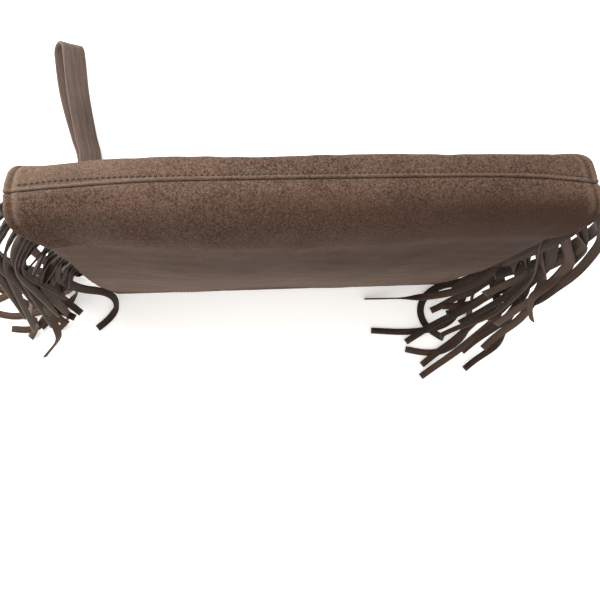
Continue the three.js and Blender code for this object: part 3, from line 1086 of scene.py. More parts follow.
class BandMesh:
    """Flat bands gathered into one mesh, with a map that runs across and along each."""

    def __init__(self) -> None:
        self.points: list[Grid] = []
        self.faces: list[tuple[int, ...]] = []
        self.uvs: list[Grid] = []
        self.cuts: list[Grid] = []
        self.tones_and_root_shade: list[Grid] = []
        self.count = 0

    def add(self, line: Grid, wide: Grid, section: Section, tone: float, start: float) -> None:
        """Adds one band.

        Args:
            line: The points down its middle.
            wide: Its width direction at each point.
            section: Its cross-section.
            tone: How light it is, from -1 to 1, or lower where the band is darkened as painted shade.
            start: Where its map starts, so that no two bands look alike.
        """
        along = unit(np.gradient(line, axis=0))
        wide = unit(wide - (wide * along).sum(axis=1, keepdims=True) * along)
        deep = np.cross(along, wide)
        ring, cut = section.ring()
        size, steps = len(ring), len(line)
        spans = wide * np.linspace(1, section.taper, steps)[:, None]
        points = line[:, None] + spans[:, None] * ring[None, :, :1]
        points = points + deep[:, None] * ring[None, :, 1:]
        length = np.concatenate([[0], np.cumsum(np.linalg.norm(np.diff(line, axis=0), axis=1))])
        uv = np.stack(np.broadcast_arrays(ring[None, :, 0], length[:, None] + start), axis=-1)
        for step in range(steps - 1):
            for at in range(size):
                low = self.count + step * size
                turn = (at + 1) % size
                self.faces.append((low + at, low + turn, low + size + turn, low + size + at))
        last = self.count + (steps - 1) * size
        self.faces.append(tuple(self.count + at for at in reversed(range(size))))
        self.faces.append(tuple(last + at for at in range(size)))
        edge = np.broadcast_to(cut, (steps, size)).copy()
        edge[-1] = 1.0
        self.points.append(points.reshape(-1, 3))
        self.uvs.append(uv.reshape(-1, 2))
        self.cuts.append(edge.ravel())
        # Painted shade: the band darker near its start, where a fringe strand leaves the seam.
        tones_and_root_shade = tone - section.shaded * bell(length, section.shaded_length)
        self.tones_and_root_shade.append(np.repeat(tones_and_root_shade, size))
        self.count += steps * size

    def build(self, name: str, origin: Vector, finish: bpy.types.Material) -> bpy.types.Object:
        """The bands as one dressed piece.

        Args:
            name: The piece's name.
            origin: Where the bag's own axes start.
            finish: Its material.

        Returns:
            The piece.
        """
        points = np.concatenate(self.points) + np.array(origin)
        values = {"cut": np.concatenate(self.cuts), "tone": np.concatenate(self.tones_and_root_shade)}
        thing = mesh_object(name, points, self.faces, values)
        uvs = np.concatenate(self.uvs)
        owners = np.zeros(len(thing.data.loops), int)
        thing.data.loops.foreach_get("vertex_index", owners)
        layer = thing.data.uv_layers.new(name="along")
        layer.data.foreach_set("uv", uvs[owners].astype(np.float32).ravel())
        dress(thing, finish)
        return thing


def finer(line: Grid, factor: int) -> Grid:
    """A line with `factor` steps for each of its own, on a smooth curve through its points."""
    padded = np.concatenate([2 * line[:1] - line[1:2], line, 2 * line[-1:] - line[-2:-1]])
    pieces = []
    for share in np.arange(factor) / factor:
        a, b, c, d = padded[:-3], padded[1:-2], padded[2:-1], padded[3:]
        pieces.append(0.5 * (2 * b + (c - a) * share + (2 * a - 5 * b + 4 * c - d) * share**2
                             + (3 * b - a - 3 * c + d) * share**3))
    woven = np.stack(pieces, axis=1).reshape(-1, line.shape[1])
    return np.concatenate([woven, line[-1:]])


def spaced(line: Grid, count: int) -> Grid:
    """The line again, as `count` points the same way apart."""
    steps = np.linalg.norm(np.diff(line, axis=0), axis=1)
    along = np.concatenate([[0], np.cumsum(steps)])
    at = np.linspace(0, along[-1], count)
    return np.stack([np.interp(at, along, line[:, axis]) for axis in range(3)], axis=1)


@dataclass(frozen=True)
class Rest:
    """How a strand has come to lie, in millimetres on the bag's own axes.

    Attributes:
        tip: Where its cut end is.
        heading: The way that its end points, in degrees from +X, unless it hangs free.
        via: Points that it passes on the way from the seam.
        on_edge: Whether its end stands on edge.
    """

    tip: tuple[float, float, float]
    heading: Optional[float]
    via: tuple[tuple[float, float, float], ...] = ()
    on_edge: bool = False


RIGHT_RESTS: Mapping[int, Rest] = {
    0: Rest((124, 70, 1), 205, ((165, 18, 6), (176, 46, 1), (166, 74, 1), (144, 78, 1))),
    1: Rest((136, 86, 1), 172, ((163, -6, 24), (174, 0, 4), (175, 30, 1), (166, 66, 1))),
    2: Rest((76, -53, 1), 180, ((158, -22, 14), (150, -48, 1), (117, -55, 1))),
    3: Rest((105, -70, 1), 173, ((162, -20, 24), (163, -54, 1), (134, -75, 1))),
    4: Rest((170, 84, 1), 100, ((166, -4, 46), (174, -2, 22), (177, 22, 2), (176, 52, 1))),
    5: Rest((139, -62, 1), 322, ((150, -18, 34), (126, -24, 3), (120, -42, 1))),
    6: Rest((117, -94, 1), 216, ((173, -43, 56), (146, -72, 22))),
    7: Rest((118, -84, 3), 218, ((170, -35, 66), (148, -62, 18))),
    8: Rest((155, -89, 3), 232, ((176, -38, 78), (180, -66, 32))),
    9: Rest((71, -26, 3.2), 183, ((156, -16, 82), (142, -26, 42), (117, -27, 12)), True),
    10: Rest((105, -64, 3), 212, ((160, -28, 82), (152, -38, 46), (128, -50, 8))),
    11: Rest((128, -38, 5), 192, ((164, -15, 96), (155, -20, 58), (145, -28, 26))),
    12: Rest((132, -36, 25), 184, ((170, -24, 104), (157, -31, 50))),
    13: Rest((150, -74, 14), 222, ((176, -30, 108), (174, -52, 60))),
    14: Rest((136, -42, 22), 192, ((168, -22, 112), (164, -26, 76), (152, -36, 42))),
    15: Rest((143, -22, 20), None, ((165, -9, 124), (157, -11, 84), (151, -14, 54))),
    16: Rest((160, -72, 36), 230, ((176, -28, 128), (177, -50, 84))),
    17: Rest((132, -60, 14), 214, ((175, -28, 130), (166, -50, 64))),
    18: Rest((146, -50, 24), 200, ((172, -24, 140), (168, -36, 66))),
    19: Rest((158, -50, 56), None, ((164, -20, 158), (168, -27, 118))),
    20: Rest((160, -54, 66), None, ((176, -20, 168), (177, -36, 122))),
    21: Rest((176, -53, 94), 312, ((172, -12, 190), (170, -34, 134), (174, -47, 104))),
    22: Rest((150, -31, 72), None, ((172, -14, 190), (169, -20, 150), (160, -24, 108))),
    23: Rest((156, -12, 76), None, ((149, -11, 200), (150, -12, 160), (152, -12, 120))),
    24: Rest((170, -42, 100), None, ((172, -14, 205), (176, -25, 170), (175, -33, 135))),
    25: Rest((150, -20, 94), None, ((168, -8, 208), (169, -13, 170), (162, -18, 138))),
}

LEFT_RESTS: Mapping[int, Rest] = {
    0: Rest((-180, 84, 1), 25, ((-168, 8, 10), (-205, 20, 1), (-214, 50, 1))),
    1: Rest((-243, 70, 1), 82, ((-170, 2, 16), (-205, 6, 1), (-236, 22, 1))),
    2: Rest((-258, 34, 1), 75, ((-166, -2, 28), (-196, 0, 2), (-228, -2, 1))),
    3: Rest((-250, -20, 1), 188, ((-166, -8, 32), (-190, -10, 2), (-222, -12, 1))),
    4: Rest((-206, 72, 1), 75, ((-172, 4, 40), (-196, 14, 4), (-214, 40, 1))),
    5: Rest((-236, -6, 1), 168, ((-172, -14, 48), (-196, -24, 4))),
    6: Rest((-238, -26, 2), 172, ((-176, -18, 56), (-200, -28, 8))),
    7: Rest((-220, -41, 2), 182, ((-178, -18, 64), (-194, -36, 14))),
    9: Rest((-194, -65, 3.2), 245, ((-172, -22, 80), (-178, -44, 30)), True),
    10: Rest((-152, -43, 1), 226, ((-162, -12, 84), (-154, -17, 44), (-130, -24, 2))),
    11: Rest((-205, -49, 3), 236, ((-178, -20, 92), (-196, -38, 40))),
    13: Rest((-162, -31, 14), 322, ((-168, -12, 104), (-166, -22, 58))),
    14: Rest((-166, -35, 18), 318, ((-172, -16, 118), (-172, -27, 66))),
    15: Rest((-171, -40, 22), 320, ((-178, -16, 128), (-178, -30, 76))),
}


@dataclass
class Drape:
    """Strands let fall from a seam till they lie still: ropes that keep their length.

    Attributes:
        roots: Where each strand leaves the seam.
        out: The way that each strand leaves it.
        rests: The strands whose lie is known, by their order from the mouth.
        lean: How far from straight down each strand is drawn, by its weight.
        held: How many joints at its root the seam holds straight.
        stays: How stiff a strand is, as a span in steps, its least length in steps and the
            share of the lack that is made up.
    """

    roots: Grid
    out: Grid
    rests: Mapping[int, Rest]
    lean: Grid
    body: BodyShape
    length: float
    joints: int = 29
    rounds: int = 200
    passes: int = 14
    clear: float = 1.6 * MM
    apart: float = 2.4 * MM
    fall: float = 0.30 * MM
    damping: float = 0.9
    draw: float = 0.06
    grip: float = 0.85
    grip_height: float = 2.2 * MM
    ground: float = 1.2 * MM
    hardest_push: float = 0.8 * MM
    evenings: int = 6
    held: int = 3
    stays: tuple[tuple[int, float, float], ...] = ((2, 1.96, 0.2), (4, 3.72, 0.12), (8, 6.6, 0.04))

    def run(self) -> Grid:
        """The strands at rest, as points down the middle of each."""
        step = self.length / (self.joints - 1)
        now = self._start()
        guides = self._guides(now)
        was = now.copy()
        weight = self.fall * (DOWN + self.lean[:, None])
        for _ in range(self.rounds):
            speed = (now - was) * self.damping
            was = now.copy()
            now = now + speed + weight
            self._keep_apart(now)
            for _ in range(self.passes):
                for order, at, place in guides:
                    now[order, at] += self.draw * (place - now[order, at])
                self._hold(now, step)
                self._brace(now, step)
            self._clear(now)
            self._rub(now, was)
        held = self.held
        for _ in range(self.evenings):
            between = (now[:, held - 1 : -2] + now[:, held + 1 :]) / 2
            now[:, held:-1] += 0.5 * (between - now[:, held:-1])
        return now

    def _start(self) -> Grid:
        """First guesses: a smooth line from each root, past its known points, to its end."""
        strands = []
        for order, (root, out) in enumerate(zip(self.roots, self.out)):
            rest = self.rests.get(order)
            knots = [root, root + out * 12 * MM]
            if rest:
                tip = np.array(rest.tip) * MM
                knots += [np.array(place) * MM for place in rest.via]
                knots += [tip - 9 * MM * self._heading(rest), tip]
            else:
                drop = DOWN + self.lean[order]
                below = root + out * 30 * MM
                knots += [below + drop * share * self.length for share in (0.15, 0.45, 0.8)]
            line = finer(np.array(knots), 10)
            line[:, 2] = np.maximum(line[:, 2], 1.5 * MM)
            strands.append(spaced(line, self.joints))
        return np.array(strands)

    def _guides(self, now: Grid) -> list[tuple[int, int, Grid]]:
        """The joint of each known strand that is nearest to each point that it passes."""
        guides = []
        for order, rest in self.rests.items():
            for place in rest.via:
                target = np.array(place) * MM
                at = int(np.argmin(np.linalg.norm(now[order] - target, axis=1)))
                guides.append((order, min(max(at, self.held), self.joints - 3), target))
        loose = [order for order in range(len(self.roots)) if order not in self.rests]
        for order in loose:
            for at, away, below in ((5, 25, 10), (9, 33, 30)):
                place = self.roots[order] + self.out[order] * away * MM + DOWN * below * MM
                guides.append((order, at, place))
        return guides

    @staticmethod
    def _heading(rest: Rest) -> Grid:
        """The way that a known strand's end points."""
        if rest.heading is None:
            return DOWN
        turn = math.radians(rest.heading)
        return np.array([math.cos(turn), math.sin(turn), 0.0])

    def _hold(self, now: Grid, step: float) -> None:
        """Keeps the sewn roots and the known ends where they are."""
        for at in range(self.held):
            now[:, at] = self.roots + self.out * step * at
        for order, rest in self.rests.items():
            now[order, -1] = np.array(rest.tip) * MM
            now[order, -2] = now[order, -1] - step * self._heading(rest)

    def _brace(self, now: Grid, step: float) -> None:
        """Keeps neighbours a step apart, and stands up to sharp bends as leather does."""
        for first in (0, 1):
            a, b = now[:, first:-1:2], now[:, first + 1 :: 2]
            gap = b - a
            size = np.maximum(np.linalg.norm(gap, axis=2, keepdims=True), 1e-9)
            move = gap * (0.5 * (size - step) / size)
            a += move
            b -= move
        for span, least, strength in self.stays:
            gap = now[:, span:] - now[:, :-span]
            size = np.maximum(np.linalg.norm(gap, axis=2, keepdims=True), 1e-9)
            move = gap * (strength * np.minimum(size - least * step, 0) / size)
            now[:, :-span] += move
            now[:, span:] -= move

    def _keep_apart(self, now: Grid) -> None:
        """Pushes strands off each other."""
        count = len(now)
        flat = now[:, self.held :].reshape(-1, 3)
        owner = np.repeat(np.arange(count), self.joints - self.held)
        gap = flat[:, None] - flat[None]
        size = np.linalg.norm(gap, axis=2)
        near = (size < self.apart) & (owner[:, None] != owner[None])
        push = np.where(near, 0.5 * (self.apart - size) / np.maximum(size, 1e-7), 0.0)
        move = (gap * push[..., None]).sum(axis=1)
        flat = flat + np.clip(move, -self.hardest_push, self.hardest_push)
        now[:, self.held :] = flat.reshape(count, -1, 3)

    def _clear(self, now: Grid) -> None:
        """Keeps the strands out of the body and above the ground."""
        first = self.held - 1
        moved = self.body.outside(now[:, first:].reshape(-1, 3), self.clear)
        now[:, first:] = moved.reshape(len(now), -1, 3)
        now[..., 2] = np.maximum(now[..., 2], self.ground)

    def _rub(self, now: Grid, was: Grid) -> None:
        """Stops what lies on the ground from sliding."""
        low = (now[..., 2:] < self.grip_height) * self.grip
        now[..., :2] += (was[..., :2] - now[..., :2]) * low


@dataclass
class Fringe:
    """One side's fringe: strands cut from one strip, whose uncut edge is sewn in the seam."""

    name: str
    end: End
    body: BodyShape
    origin: Vector
    rests: Mapping[int, Rest]
    strands: int = 26
    width: float = 6.2 * MM
    thickness: float = 1.1 * MM
    length: float = 168.0 * MM
    lowest: float = 42.0 * MM
    highest: float = 252.0 * MM
    header_depth: float = 10.0 * MM
    header_tuck: float = 1.2 * MM
    header_margin: float = 5.0 * MM
    forward: float = 34.0
    inner: tuple[float, float] = (-0.24, -0.03)
    outer: tuple[float, float] = (0.02, -0.3)
    taper: float = 0.72
    # root_shade: painted shade near each strand's root.
    root_shade: float = 1.6
    # The header is darkened all along as painted shade.
    header_shade_tone: float = -1.5
    seed: int = 3

    def build(self, finish: bpy.types.Material) -> bpy.types.Object:
        """The fringe as one piece.

        Args:
            finish: Its material.

        Returns:
            The piece.
        """
        bands = BandMesh()
        self._add_header(bands)
        rng = np.random.default_rng(self.seed)
        for order, line in enumerate(self.lay()):
            fine = finer(line, 2)
            cup = rng.uniform(-0.35, 0.35) * MM
            width = self.width * rng.uniform(1.14, 1.24)
            section = Section(
                width, self.thickness, cup=cup, taper=self.taper, shaded=self.root_shade
            )
            turns = self._turns(fine, order, rng)
            bands.add(fine, turns, section, rng.uniform(-1, 1), 0.3 * order)
        return bands.build(self.name, self.origin, finish)

    def lay(self) -> Grid:
        """The strands' middle lines at rest."""
        rng = np.random.default_rng(self.seed + self.end.value)
        heights = np.linspace(self.lowest, self.highest, self.strands)
        spread = rng.normal(size=(self.strands, 3))
        turn = np.radians(self.forward * smooth(heights / (120 * MM)) + 6 * spread[:, 0])
        out = np.stack([self.end.value * np.cos(turn), -np.sin(turn), 0 * turn], axis=1)
        fan = (np.arange(self.strands) * 0.618) % 1
        lean = np.stack([
            self.end.value * (lerp(self.inner[0], self.outer[0], fan) + 0.02 * spread[:, 1]),
            lerp(self.inner[1], self.outer[1], fan) + 0.03 * spread[:, 2],
            0 * turn,
        ], axis=1)
        drape = Drape(self._seam(heights), out, self.rests, lean, self.body, self.length)
        return drape.run()

    def _seam(self, z: Grid) -> Grid:
        """Points on the side seam at heights z, just inside the body's skin."""
        x = self.end.value * (self.body.half_width(z) + 0.4 * MM)
        return np.stack([x, self.body.side_seam(z), z], axis=1)

    def _add_header(self, bands: BandMesh) -> None:
        """The uncut edge of the strip, standing out of the seam."""
        z = np.linspace(self.lowest - self.header_margin, self.highest + self.header_margin, 60)
        turn = math.radians(self.forward)
        out = np.array([self.end.value * math.cos(turn), -math.sin(turn), 0.0])
        line = self._seam(z) + out * (self.header_depth / 2 - self.header_tuck)
        section = Section(self.header_depth, self.thickness)
        # The header is passed a low tone, its painted shade.
        bands.add(line, np.tile(out, (len(z), 1)), section, self.header_shade_tone, 9.0)

    def _turns(self, line: Grid, order: int, rng: np.random.Generator) -> Grid:
        """The width direction along a strand: upright at the seam, then turned to hang flat
        against its neighbours, and lying flat on the ground.
        """
        side = self.end.value
        along = unit(np.gradient(line, axis=0))
        angle = math.radians(rng.normal(0, 24))
        hang = np.array([0.32 * side, -0.94, 0.1])
        turned = np.array([
            hang[0] * math.cos(angle) - hang[1] * math.sin(angle),
            hang[0] * math.sin(angle) + hang[1] * math.cos(angle),
            hang[2],
        ])
        on_edge = order in self.rests and self.rests[order].on_edge
        wide = np.zeros_like(line)
        current = UP
        for at, way in enumerate(along):
            level = smooth((0.75 - abs(way[2])) / 0.4)
            low = smooth((40 * MM - line[at, 2]) / (30 * MM))
            flat = UP if on_edge else np.array([-way[1], way[0], 0.0])
            goal = lerp(turned, flat * (1 if flat @ current >= 0 else -1), float(level * low))
            goal = goal - (goal @ way) * way
            goal = unit(goal) * (1 if goal @ current >= 0 else -1)
            pace = 0.05 if at < 3 else 0.6
            current = current - (current @ way) * way
            current = unit(unit(current) + pace * goal)
            wide[at] = current
            room = max(line[at, 2] - self.thickness, 0.0) / (0.6 * self.width)
            if not on_edge and abs(current[2]) > room:
                wide[at, 2] = math.copysign(room, current[2])
        return wide


@dataclass
class WristStrap:
    """One flat band folded into a loop, its two ends sewn in the left side seam."""

    origin: Vector
    name: str = "wrist_strap_loop"
    width: float = 19.0 * MM
    thickness: float = 2.4 * MM
    closed_gap: float = 0.3 * MM
    open_gap: float = 15.0 * MM
    seam_lift: float = 5.0 * MM
    turn: float = 52.0
    steps: int = 60

    def plan(self) -> Grid:
        """The loop's middle line seen from above."""
        points = np.array([
            (-141.7, 0.0), (-148.0, 0.2), (-155.0, 4.0), (-158.5, 14.0), (-157.0, 50.0),
            (-155.5, 95.0), (-159.5, 115.0), (-164.0, 137.0), (-167.2, 157.0), (-169.8, 186.0),
        ]) * MM
        line = np.concatenate([points, np.zeros((len(points), 1))], axis=1)
        return spaced(finer(line, 12), self.steps + 1)

    def build(self, finish: bpy.types.Material) -> bpy.types.Object:
        """The strap as one piece.

        Args:
            finish: Its material.

        Returns:
            The piece.
        """
        plan = self.plan()
        share = np.linspace(0, 1, self.steps + 1)
        along = unit(np.gradient(plan, axis=0))
        twist = math.radians(self.turn) * smooth((share - 0.1) / 0.4)
        closed = self.thickness + self.closed_gap
        gap = closed + (self.open_gap - closed) * smooth((share - 0.45) / 0.5)
        side = np.cross(UP, along)
        wide = side * np.sin(twist)[:, None] + UP * np.cos(twist)[:, None]
        apart = np.cross(along, wide)
        centre = plan.copy()
        centre[:, 2] = (0.2 * MM + (gap + self.thickness) / 2 * np.sin(twist)
                        + self.width / 2 * np.cos(twist) + self.seam_lift * (1 - smooth(share / 0.3)))
        lower = centre - apart * gap[:, None] / 2
        upper = centre + apart * gap[:, None] / 2
        arc = np.linspace(0, np.pi, 15)[1:-1]
        radius = gap[-1] / 2
        bend = (centre[-1] - apart[-1] * radius * np.cos(arc)[:, None]
                + along[-1] * radius * np.sin(arc)[:, None])
        line = np.concatenate([lower, bend, upper[::-1]])
        across = np.concatenate([wide, np.tile(wide[-1], (len(arc), 1)), wide[::-1]])
        sway = Ripple(70 * MM, 8).at(line)[:, None] * 0.35 * MM
        bands = BandMesh()
        section = Section(self.width, self.thickness, 0.5 * MM, 0.25 * MM)
        bands.add(line + across * sway, across, section, 0.0, 0.0)
        return bands.build(self.name, self.origin, finish)


# ---- The zip ------------------------------------------------------------------------------


@dataclass
class ZipTape:
    """Half of the woven tape that closes the mouth."""

    name: str
    side: Side
    node: str
    origin: Vector
    body: BodyShape
    inset: float = 2.0 * MM
    thickness: float = 0.62 * MM
    dip: float = 0.12 * MM
    columns: int = 180
    rows: int = 8

    def build(self, finish: bpy.types.Material) -> bpy.types.Object:
        """The tape, rounded at its ends to fit the mouth.

        Args:
            finish: Its material.

        Returns:
            The piece.
        """
        low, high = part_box(self.node)
        way = self.side.value
        reach = max(abs(low.x - self.origin.x), abs(high.x - self.origin.x))
        near = min(abs(low.y - self.origin.y), abs(high.y - self.origin.y))
        x = np.sin(np.linspace(-1, 1, self.columns + 1) * np.pi / 2) * reach
        radius = self.body.corner - self.inset
        past = np.maximum(np.abs(x) - (reach - radius), 0)
        # Rounding can take the root's inside just below 0 at the two ends, and leave it undefined.
        depth = self.body.mouth_half_depth - self.inset - radius + np.sqrt(radius**2 - past**2)
        share = np.linspace(0, 1, self.rows + 1)[:, None]
        y = way * lerp(near, depth[None], share)
        place = np.stack(np.broadcast_arrays(x[None], y, high.z), axis=-1)
        place[..., 2] -= self.dip * (1 + Ripple(30 * MM, 4).at(place)) * 0.5
        points = place.reshape(-1, 3) + np.array([self.origin.x, self.origin.y, 0.0])
        faces = quads(self.rows + 1, self.columns + 1)
        thing = mesh_object(self.name, points, faces, {"calm_nap_and_painted_sheen": np.zeros(len(points))})
        if normals(thing)[:, 2].sum() < 0:
            thing.data.flip_normals()
        thicken(thing, np.full(len(thing.data.vertices), self.thickness), ("calm_nap_and_painted_sheen",))
        dress(thing, finish)
        return thing


@dataclass
class ToothRow:
    """One side's metal teeth, each clamped on the tape's edge, laid by a node tree."""

    name: str
    side: Side
    node: str
    tooth_share: float = 0.42
    nib_share: float = 0.25
    nib_radius: float = 0.62 * MM
    pitch: float = 2.5 * MM

    def build(self, finish: bpy.types.Material) -> bpy.types.Object:
        """The teeth, each a block with a rounded nib.

        Args:
            finish: Their material.

        Returns:
            The piece.
        """
        low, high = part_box(self.node)
        teeth = linked(self.name, bpy.data.meshes.new(self.name))
        stagger = self.pitch / 2 if self.side is Side.BACK else 0.0
        start = low.x + stagger + self.pitch / 2
        self._tree(finish).run(teeth, {
            "Count": int((high.x - start) / self.pitch),
            "Pitch": self.pitch,
            "Start": (start, (low.y + high.y) / 2, (low.z + high.z) / 2),
            "Tooth": (self.pitch * self.tooth_share, high.y - low.y, high.z - low.z),
            "Nib": self.side.value * -self.nib_share * (high.y - low.y),
        })
        teeth.data.shade_flat()
        return teeth

    def _tree(self, finish: bpy.types.Material) -> Row:
        """The tree that lays a block with a rounded nib at each pitch."""
        row = Row("tooth_row", {
            "Count": "NodeSocketInt", "Pitch": "NodeSocketFloat", "Start": "NodeSocketVector",
            "Tooth": "NodeSocketVector", "Nib": "NodeSocketFloat",
        })
        graph = row.graph
        count, pitch, start, tooth, nib = row.given
        offset = graph.node("ShaderNodeCombineXYZ", {}, {"X": pitch})
        line = graph.node("GeometryNodeMeshLine", {}, {
            "Count": count, "Start Location": start, "Offset": offset,
        })
        cube = graph.node("GeometryNodeMeshCube", {}, {"Size": tooth})
        nose = graph.node("GeometryNodeMeshUVSphere", {}, {
            "Segments": 8, "Rings": 5, "Radius": self.nib_radius,
        })
        ahead = graph.node("ShaderNodeCombineXYZ", {}, {"Y": nib})
        moved = graph.node("GeometryNodeTransform", {}, {"Geometry": nose, "Translation": ahead})
        both = graph.tree.nodes.new("GeometryNodeJoinGeometry")
        for part in (cube, moved):
            graph.tree.links.new(part.socket, both.inputs[0])
        row.lay({"Points": line, "Instance": Wire(graph, both.outputs[0])}, finish)
        return row


# ---- Studio -------------------------------------------------------------------------------


@dataclass
class Studio:
    """The camera, the table and the lights."""

    origin: Vector
    lens: float = 38.75
    eye: tuple[float, float, float] = (-34.4 * MM, -72.5 * MM, 545.8 * MM)
    tilt: tuple[float, float, float] = (0.0904, -0.0889, -0.0397)
    table_half: float = 3.0
    daylight: float = 1.15
    key_place: tuple[float, float, float] = (-0.60, 0.34, 0.66)
    key_size: float = 0.9
    key_power: float = 12.0
    aim_height: float = 0.15

    def place_camera(self) -> None:
        """The camera, above the base and a little to the front."""
        camera = linked("camera", bpy.data.cameras.new("camera"))
        camera.data.lens = self.lens
        camera.data.clip_start = 0.01
        camera.location = self.origin + Vector(self.eye)
        camera.rotation_euler = self.tilt
        bpy.context.scene.camera = camera

    def lay_table(self, finish: bpy.types.Material) -> bpy.types.Object:
        """The pale table top that the bag stands on.

        Args:
            finish: Its material.

        Returns:
            The table.
        """
        half = self.table_half
        points = np.array([(-half, -half, 0), (half, -half, 0), (half, half, 0), (-half, half, 0)])
        table = mesh_object("table", points, [(0, 1, 2, 3)], {})
        dress(table, finish)
        return table

    def light(self) -> None:
        """Daylight all round, and one soft square light from the upper left that faces the bag."""
        world = bpy.data.worlds.new("daylight")
        world.use_nodes = True
        sky = world.node_tree.nodes["Background"]
        sky.inputs["Color"].default_value = (1.0, 0.985, 0.965, 1.0)
        sky.inputs["Strength"].default_value = self.daylight
        bpy.context.scene.world = world
        key = linked("key", bpy.data.lights.new("key", "AREA"))
        key.data.size = self.key_size
        key.data.energy = self.key_power
        key.data.color = (1.0, 0.97, 0.93)
        key.location = self.origin + Vector(self.key_place)
        target = self.origin + Vector((0, 0, self.aim_height))
        key.rotation_euler = (target - key.location).to_track_quat("-Z", "Y").to_euler()
        bpy.context.scene.view_settings.view_transform = "Standard"


# ---- The whole bag ------------------------------------------------------------------------


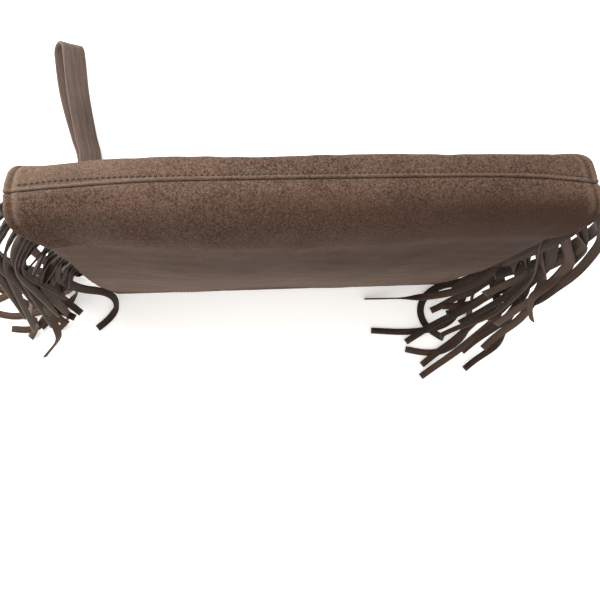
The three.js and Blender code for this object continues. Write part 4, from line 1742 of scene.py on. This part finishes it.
@dataclass
class Bag:
    """The bag's pieces, each dressed and riding on its body."""

    origin: Vector
    body: BodyShape
    rider: str = "bag"
    beside_seam: float = 2.45 * MM
    cast: tuple[str, ...] = (
        "zip_top_stop_front", "zip_top_stop_back", "zip_bottom_stop", "zip_slider", "zip_pull",
    )
    cast_weld: float = 0.005 * MM
    cast_edge: float = 0.16 * MM

    @classmethod
    def from_frame(cls) -> "Bag":
        """Reads the bag's place and size from the frame's nodes."""
        low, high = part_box("front_panel")
        front_tape, back_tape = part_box("zip_tape_front")[1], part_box("zip_tape_back")[0]
        origin = Vector(((low.x + high.x) / 2, (front_tape.y + back_tape.y) / 2, 0.0))
        return cls(origin, BodyShape(high.z, (high.x - low.x) / 2))

    def _seat(self, piece: bpy.types.Object, slot: str, *nodes: str) -> bpy.types.Object:
        """Makes a piece ride on the bag and stand for its nodes."""
        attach(piece, self.rider)
        if nodes:
            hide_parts(*nodes)
        LOG.info("%s: %d faces", piece.name, len(piece.data.polygons))
        return piece

    def build_body(self) -> None:
        """The suede panels and their lining."""
        suede = SuedeFinish("taupe_suede").build()
        twill = ClothFinish("lining_twill", "4a3d33", "7a6858", slant=0.6).build()
        lining = PanelSizes(
            inset=2.4 * MM, thickness=0.5 * MM, hem=0.5 * MM, bottom=14 * MM, strap_gap=0.0,
            columns=70, rows=60, fold_rows=3, base_rows=6,
        )
        for side in Side:
            word = side.name.lower()
            panel = Panel(f"suede_{word}", side, self.body, self.origin)
            self._seat(panel.build(1.0, suede), "suede", f"{word}_panel")
            liner = Panel(f"liner_{word}", side, self.body, self.origin, lining)
            self._seat(liner.build(0.7, twill), "lining", f"lining_{word}")

    def sew(self) -> None:
        """The topstitched row beside the base seam and the row round the hem."""
        thread = ThreadFinish("dark_thread").build()
        body = self.body
        x = np.linspace(-body.base_half_width + 5 * MM, body.base_half_width - 4 * MM, 400)
        waver = Ripple(60 * MM, 17, waves=5).at(np.stack([x, 0 * x, 0 * x], axis=1)) * 0.18 * MM
        y = body.base_seam(x) + self.beside_seam + waver
        line = np.stack([x, y, np.full_like(x, body.height)], axis=1)
        self._lay_on_skin(line, "suede_back", (0.0, 0.0, -1.0))
        row = StitchRow().sew("base_topstitch", line, thread)
        self._seat(row, "suede")
        for side in Side:
            word = side.name.lower()
            x = np.linspace(-1, 1, 420) * (body.mouth_half_width - body.corner)
            y = np.full_like(x, side.value * 60 * MM)
            line = np.stack([x, y, np.full_like(x, body.hem_stitch)], axis=1)
            self._lay_on_skin(line, f"suede_{word}", (0.0, -float(side.value), 0.0))
            row = StitchRow(3.0 * MM, 2.3 * MM).sew(f"hem_stitch_{word}", line, thread)
            self._seat(row, "suede")

    def _lay_on_skin(self, line: Grid, piece: str, way: tuple[float, float, float]) -> None:
        """Moves a row's points on to the outside of a piece, looking along `way`, in place."""
        target = bpy.data.objects[piece]
        faces = [tuple(face.vertices) for face in target.data.polygons]
        skin = BVHTree.FromPolygons(corners(target).tolist(), faces)
        line += np.array(self.origin)
        for at, point in enumerate(line):
            start = Vector(point) - Vector(way) * 60 * MM
            place = skin.ray_cast(start, Vector(way))[0]
            if place is not None:
                line[at] = np.array(place) - np.array(way) * 0.1 * MM

    def hang_fringes(self) -> None:
        """The two fringes, each cut from one strip; the strip's size is worked out but not used."""
        suede = BandFinish("fringe_suede", "1f1611", "48382e", "4c3e35").build()
        fringes = (
            Fringe("fringe_strands_right", End.RIGHT, self.body, self.origin, RIGHT_RESTS),
            Fringe("fringe_strands_left", End.LEFT, self.body, self.origin, LEFT_RESTS,
                   inner=(0.03, -0.08), outer=(0.16, -0.22)),
        )
        for fringe in fringes:
            word = fringe.end.name.lower()
            piece = self._seat(fringe.build(suede), "fringe_suede", f"fringe_{word}")
            drop = fringe.length + fringe.header_tuck
            run = fringe.highest - fringe.lowest + 2 * fringe.header_margin
            free = drop - fringe.header_depth
            cut = fringe.strands * fringe.width * free + run * fringe.header_depth

    def fit_strap(self) -> None:
        """The wrist strap."""
        finish = BandFinish("strap_suede", "463a34", "6c5c54", "5d514b").build()
        self._seat(WristStrap(self.origin).build(finish), "strap_suede", "wrist_strap")

    def fit_zip(self) -> None:
        """The tapes, the teeth, the stops, and the slider and its pull."""
        tape = ClothFinish("zip_tape_weave", "2b211c", "54453b", 1900.0).build()
        brass = BrassFinish("antique_brass").build()
        for side in Side:
            word = side.name.lower()
            strip = ZipTape(f"tape_{word}", side, f"zip_tape_{word}", self.origin, self.body)
            self._seat(strip.build(tape), "zip_tape", f"zip_tape_{word}")
            teeth = ToothRow(f"teeth_{word}", side, f"zip_teeth_{word}")
            self._seat(teeth.build(brass), "zip_metal", f"zip_teeth_{word}")
        for node in self.cast:
            self._finish_metal(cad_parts[node], brass)

    def _finish_metal(self, node: bpy.types.Object, brass: bpy.types.Material) -> None:
        """Rounds a cast piece's edges and gives it its metal."""
        weld = node.modifiers.new("weld", "WELD")
        weld.merge_threshold = self.cast_weld
        bevel = node.modifiers.new("eased_edges", "BEVEL")
        bevel.width = self.cast_edge
        bevel.segments = 2
        bevel.limit_method = "ANGLE"
        dress(node, brass)


def main() -> None:
    """Builds the bag and its studio."""
    logging.basicConfig(level=logging.INFO, format="%(name)s: %(message)s")
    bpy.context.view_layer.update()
    bag = Bag.from_frame()
    studio = Studio(bag.origin)
    studio.place_camera()
    bag.build_body()
    bag.sew()
    bag.hang_fringes()
    bag.fit_strap()
    bag.fit_zip()
    studio.lay_table(FloorFinish().build())
    studio.light()
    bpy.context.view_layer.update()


if __name__ == "__main__":
    main()
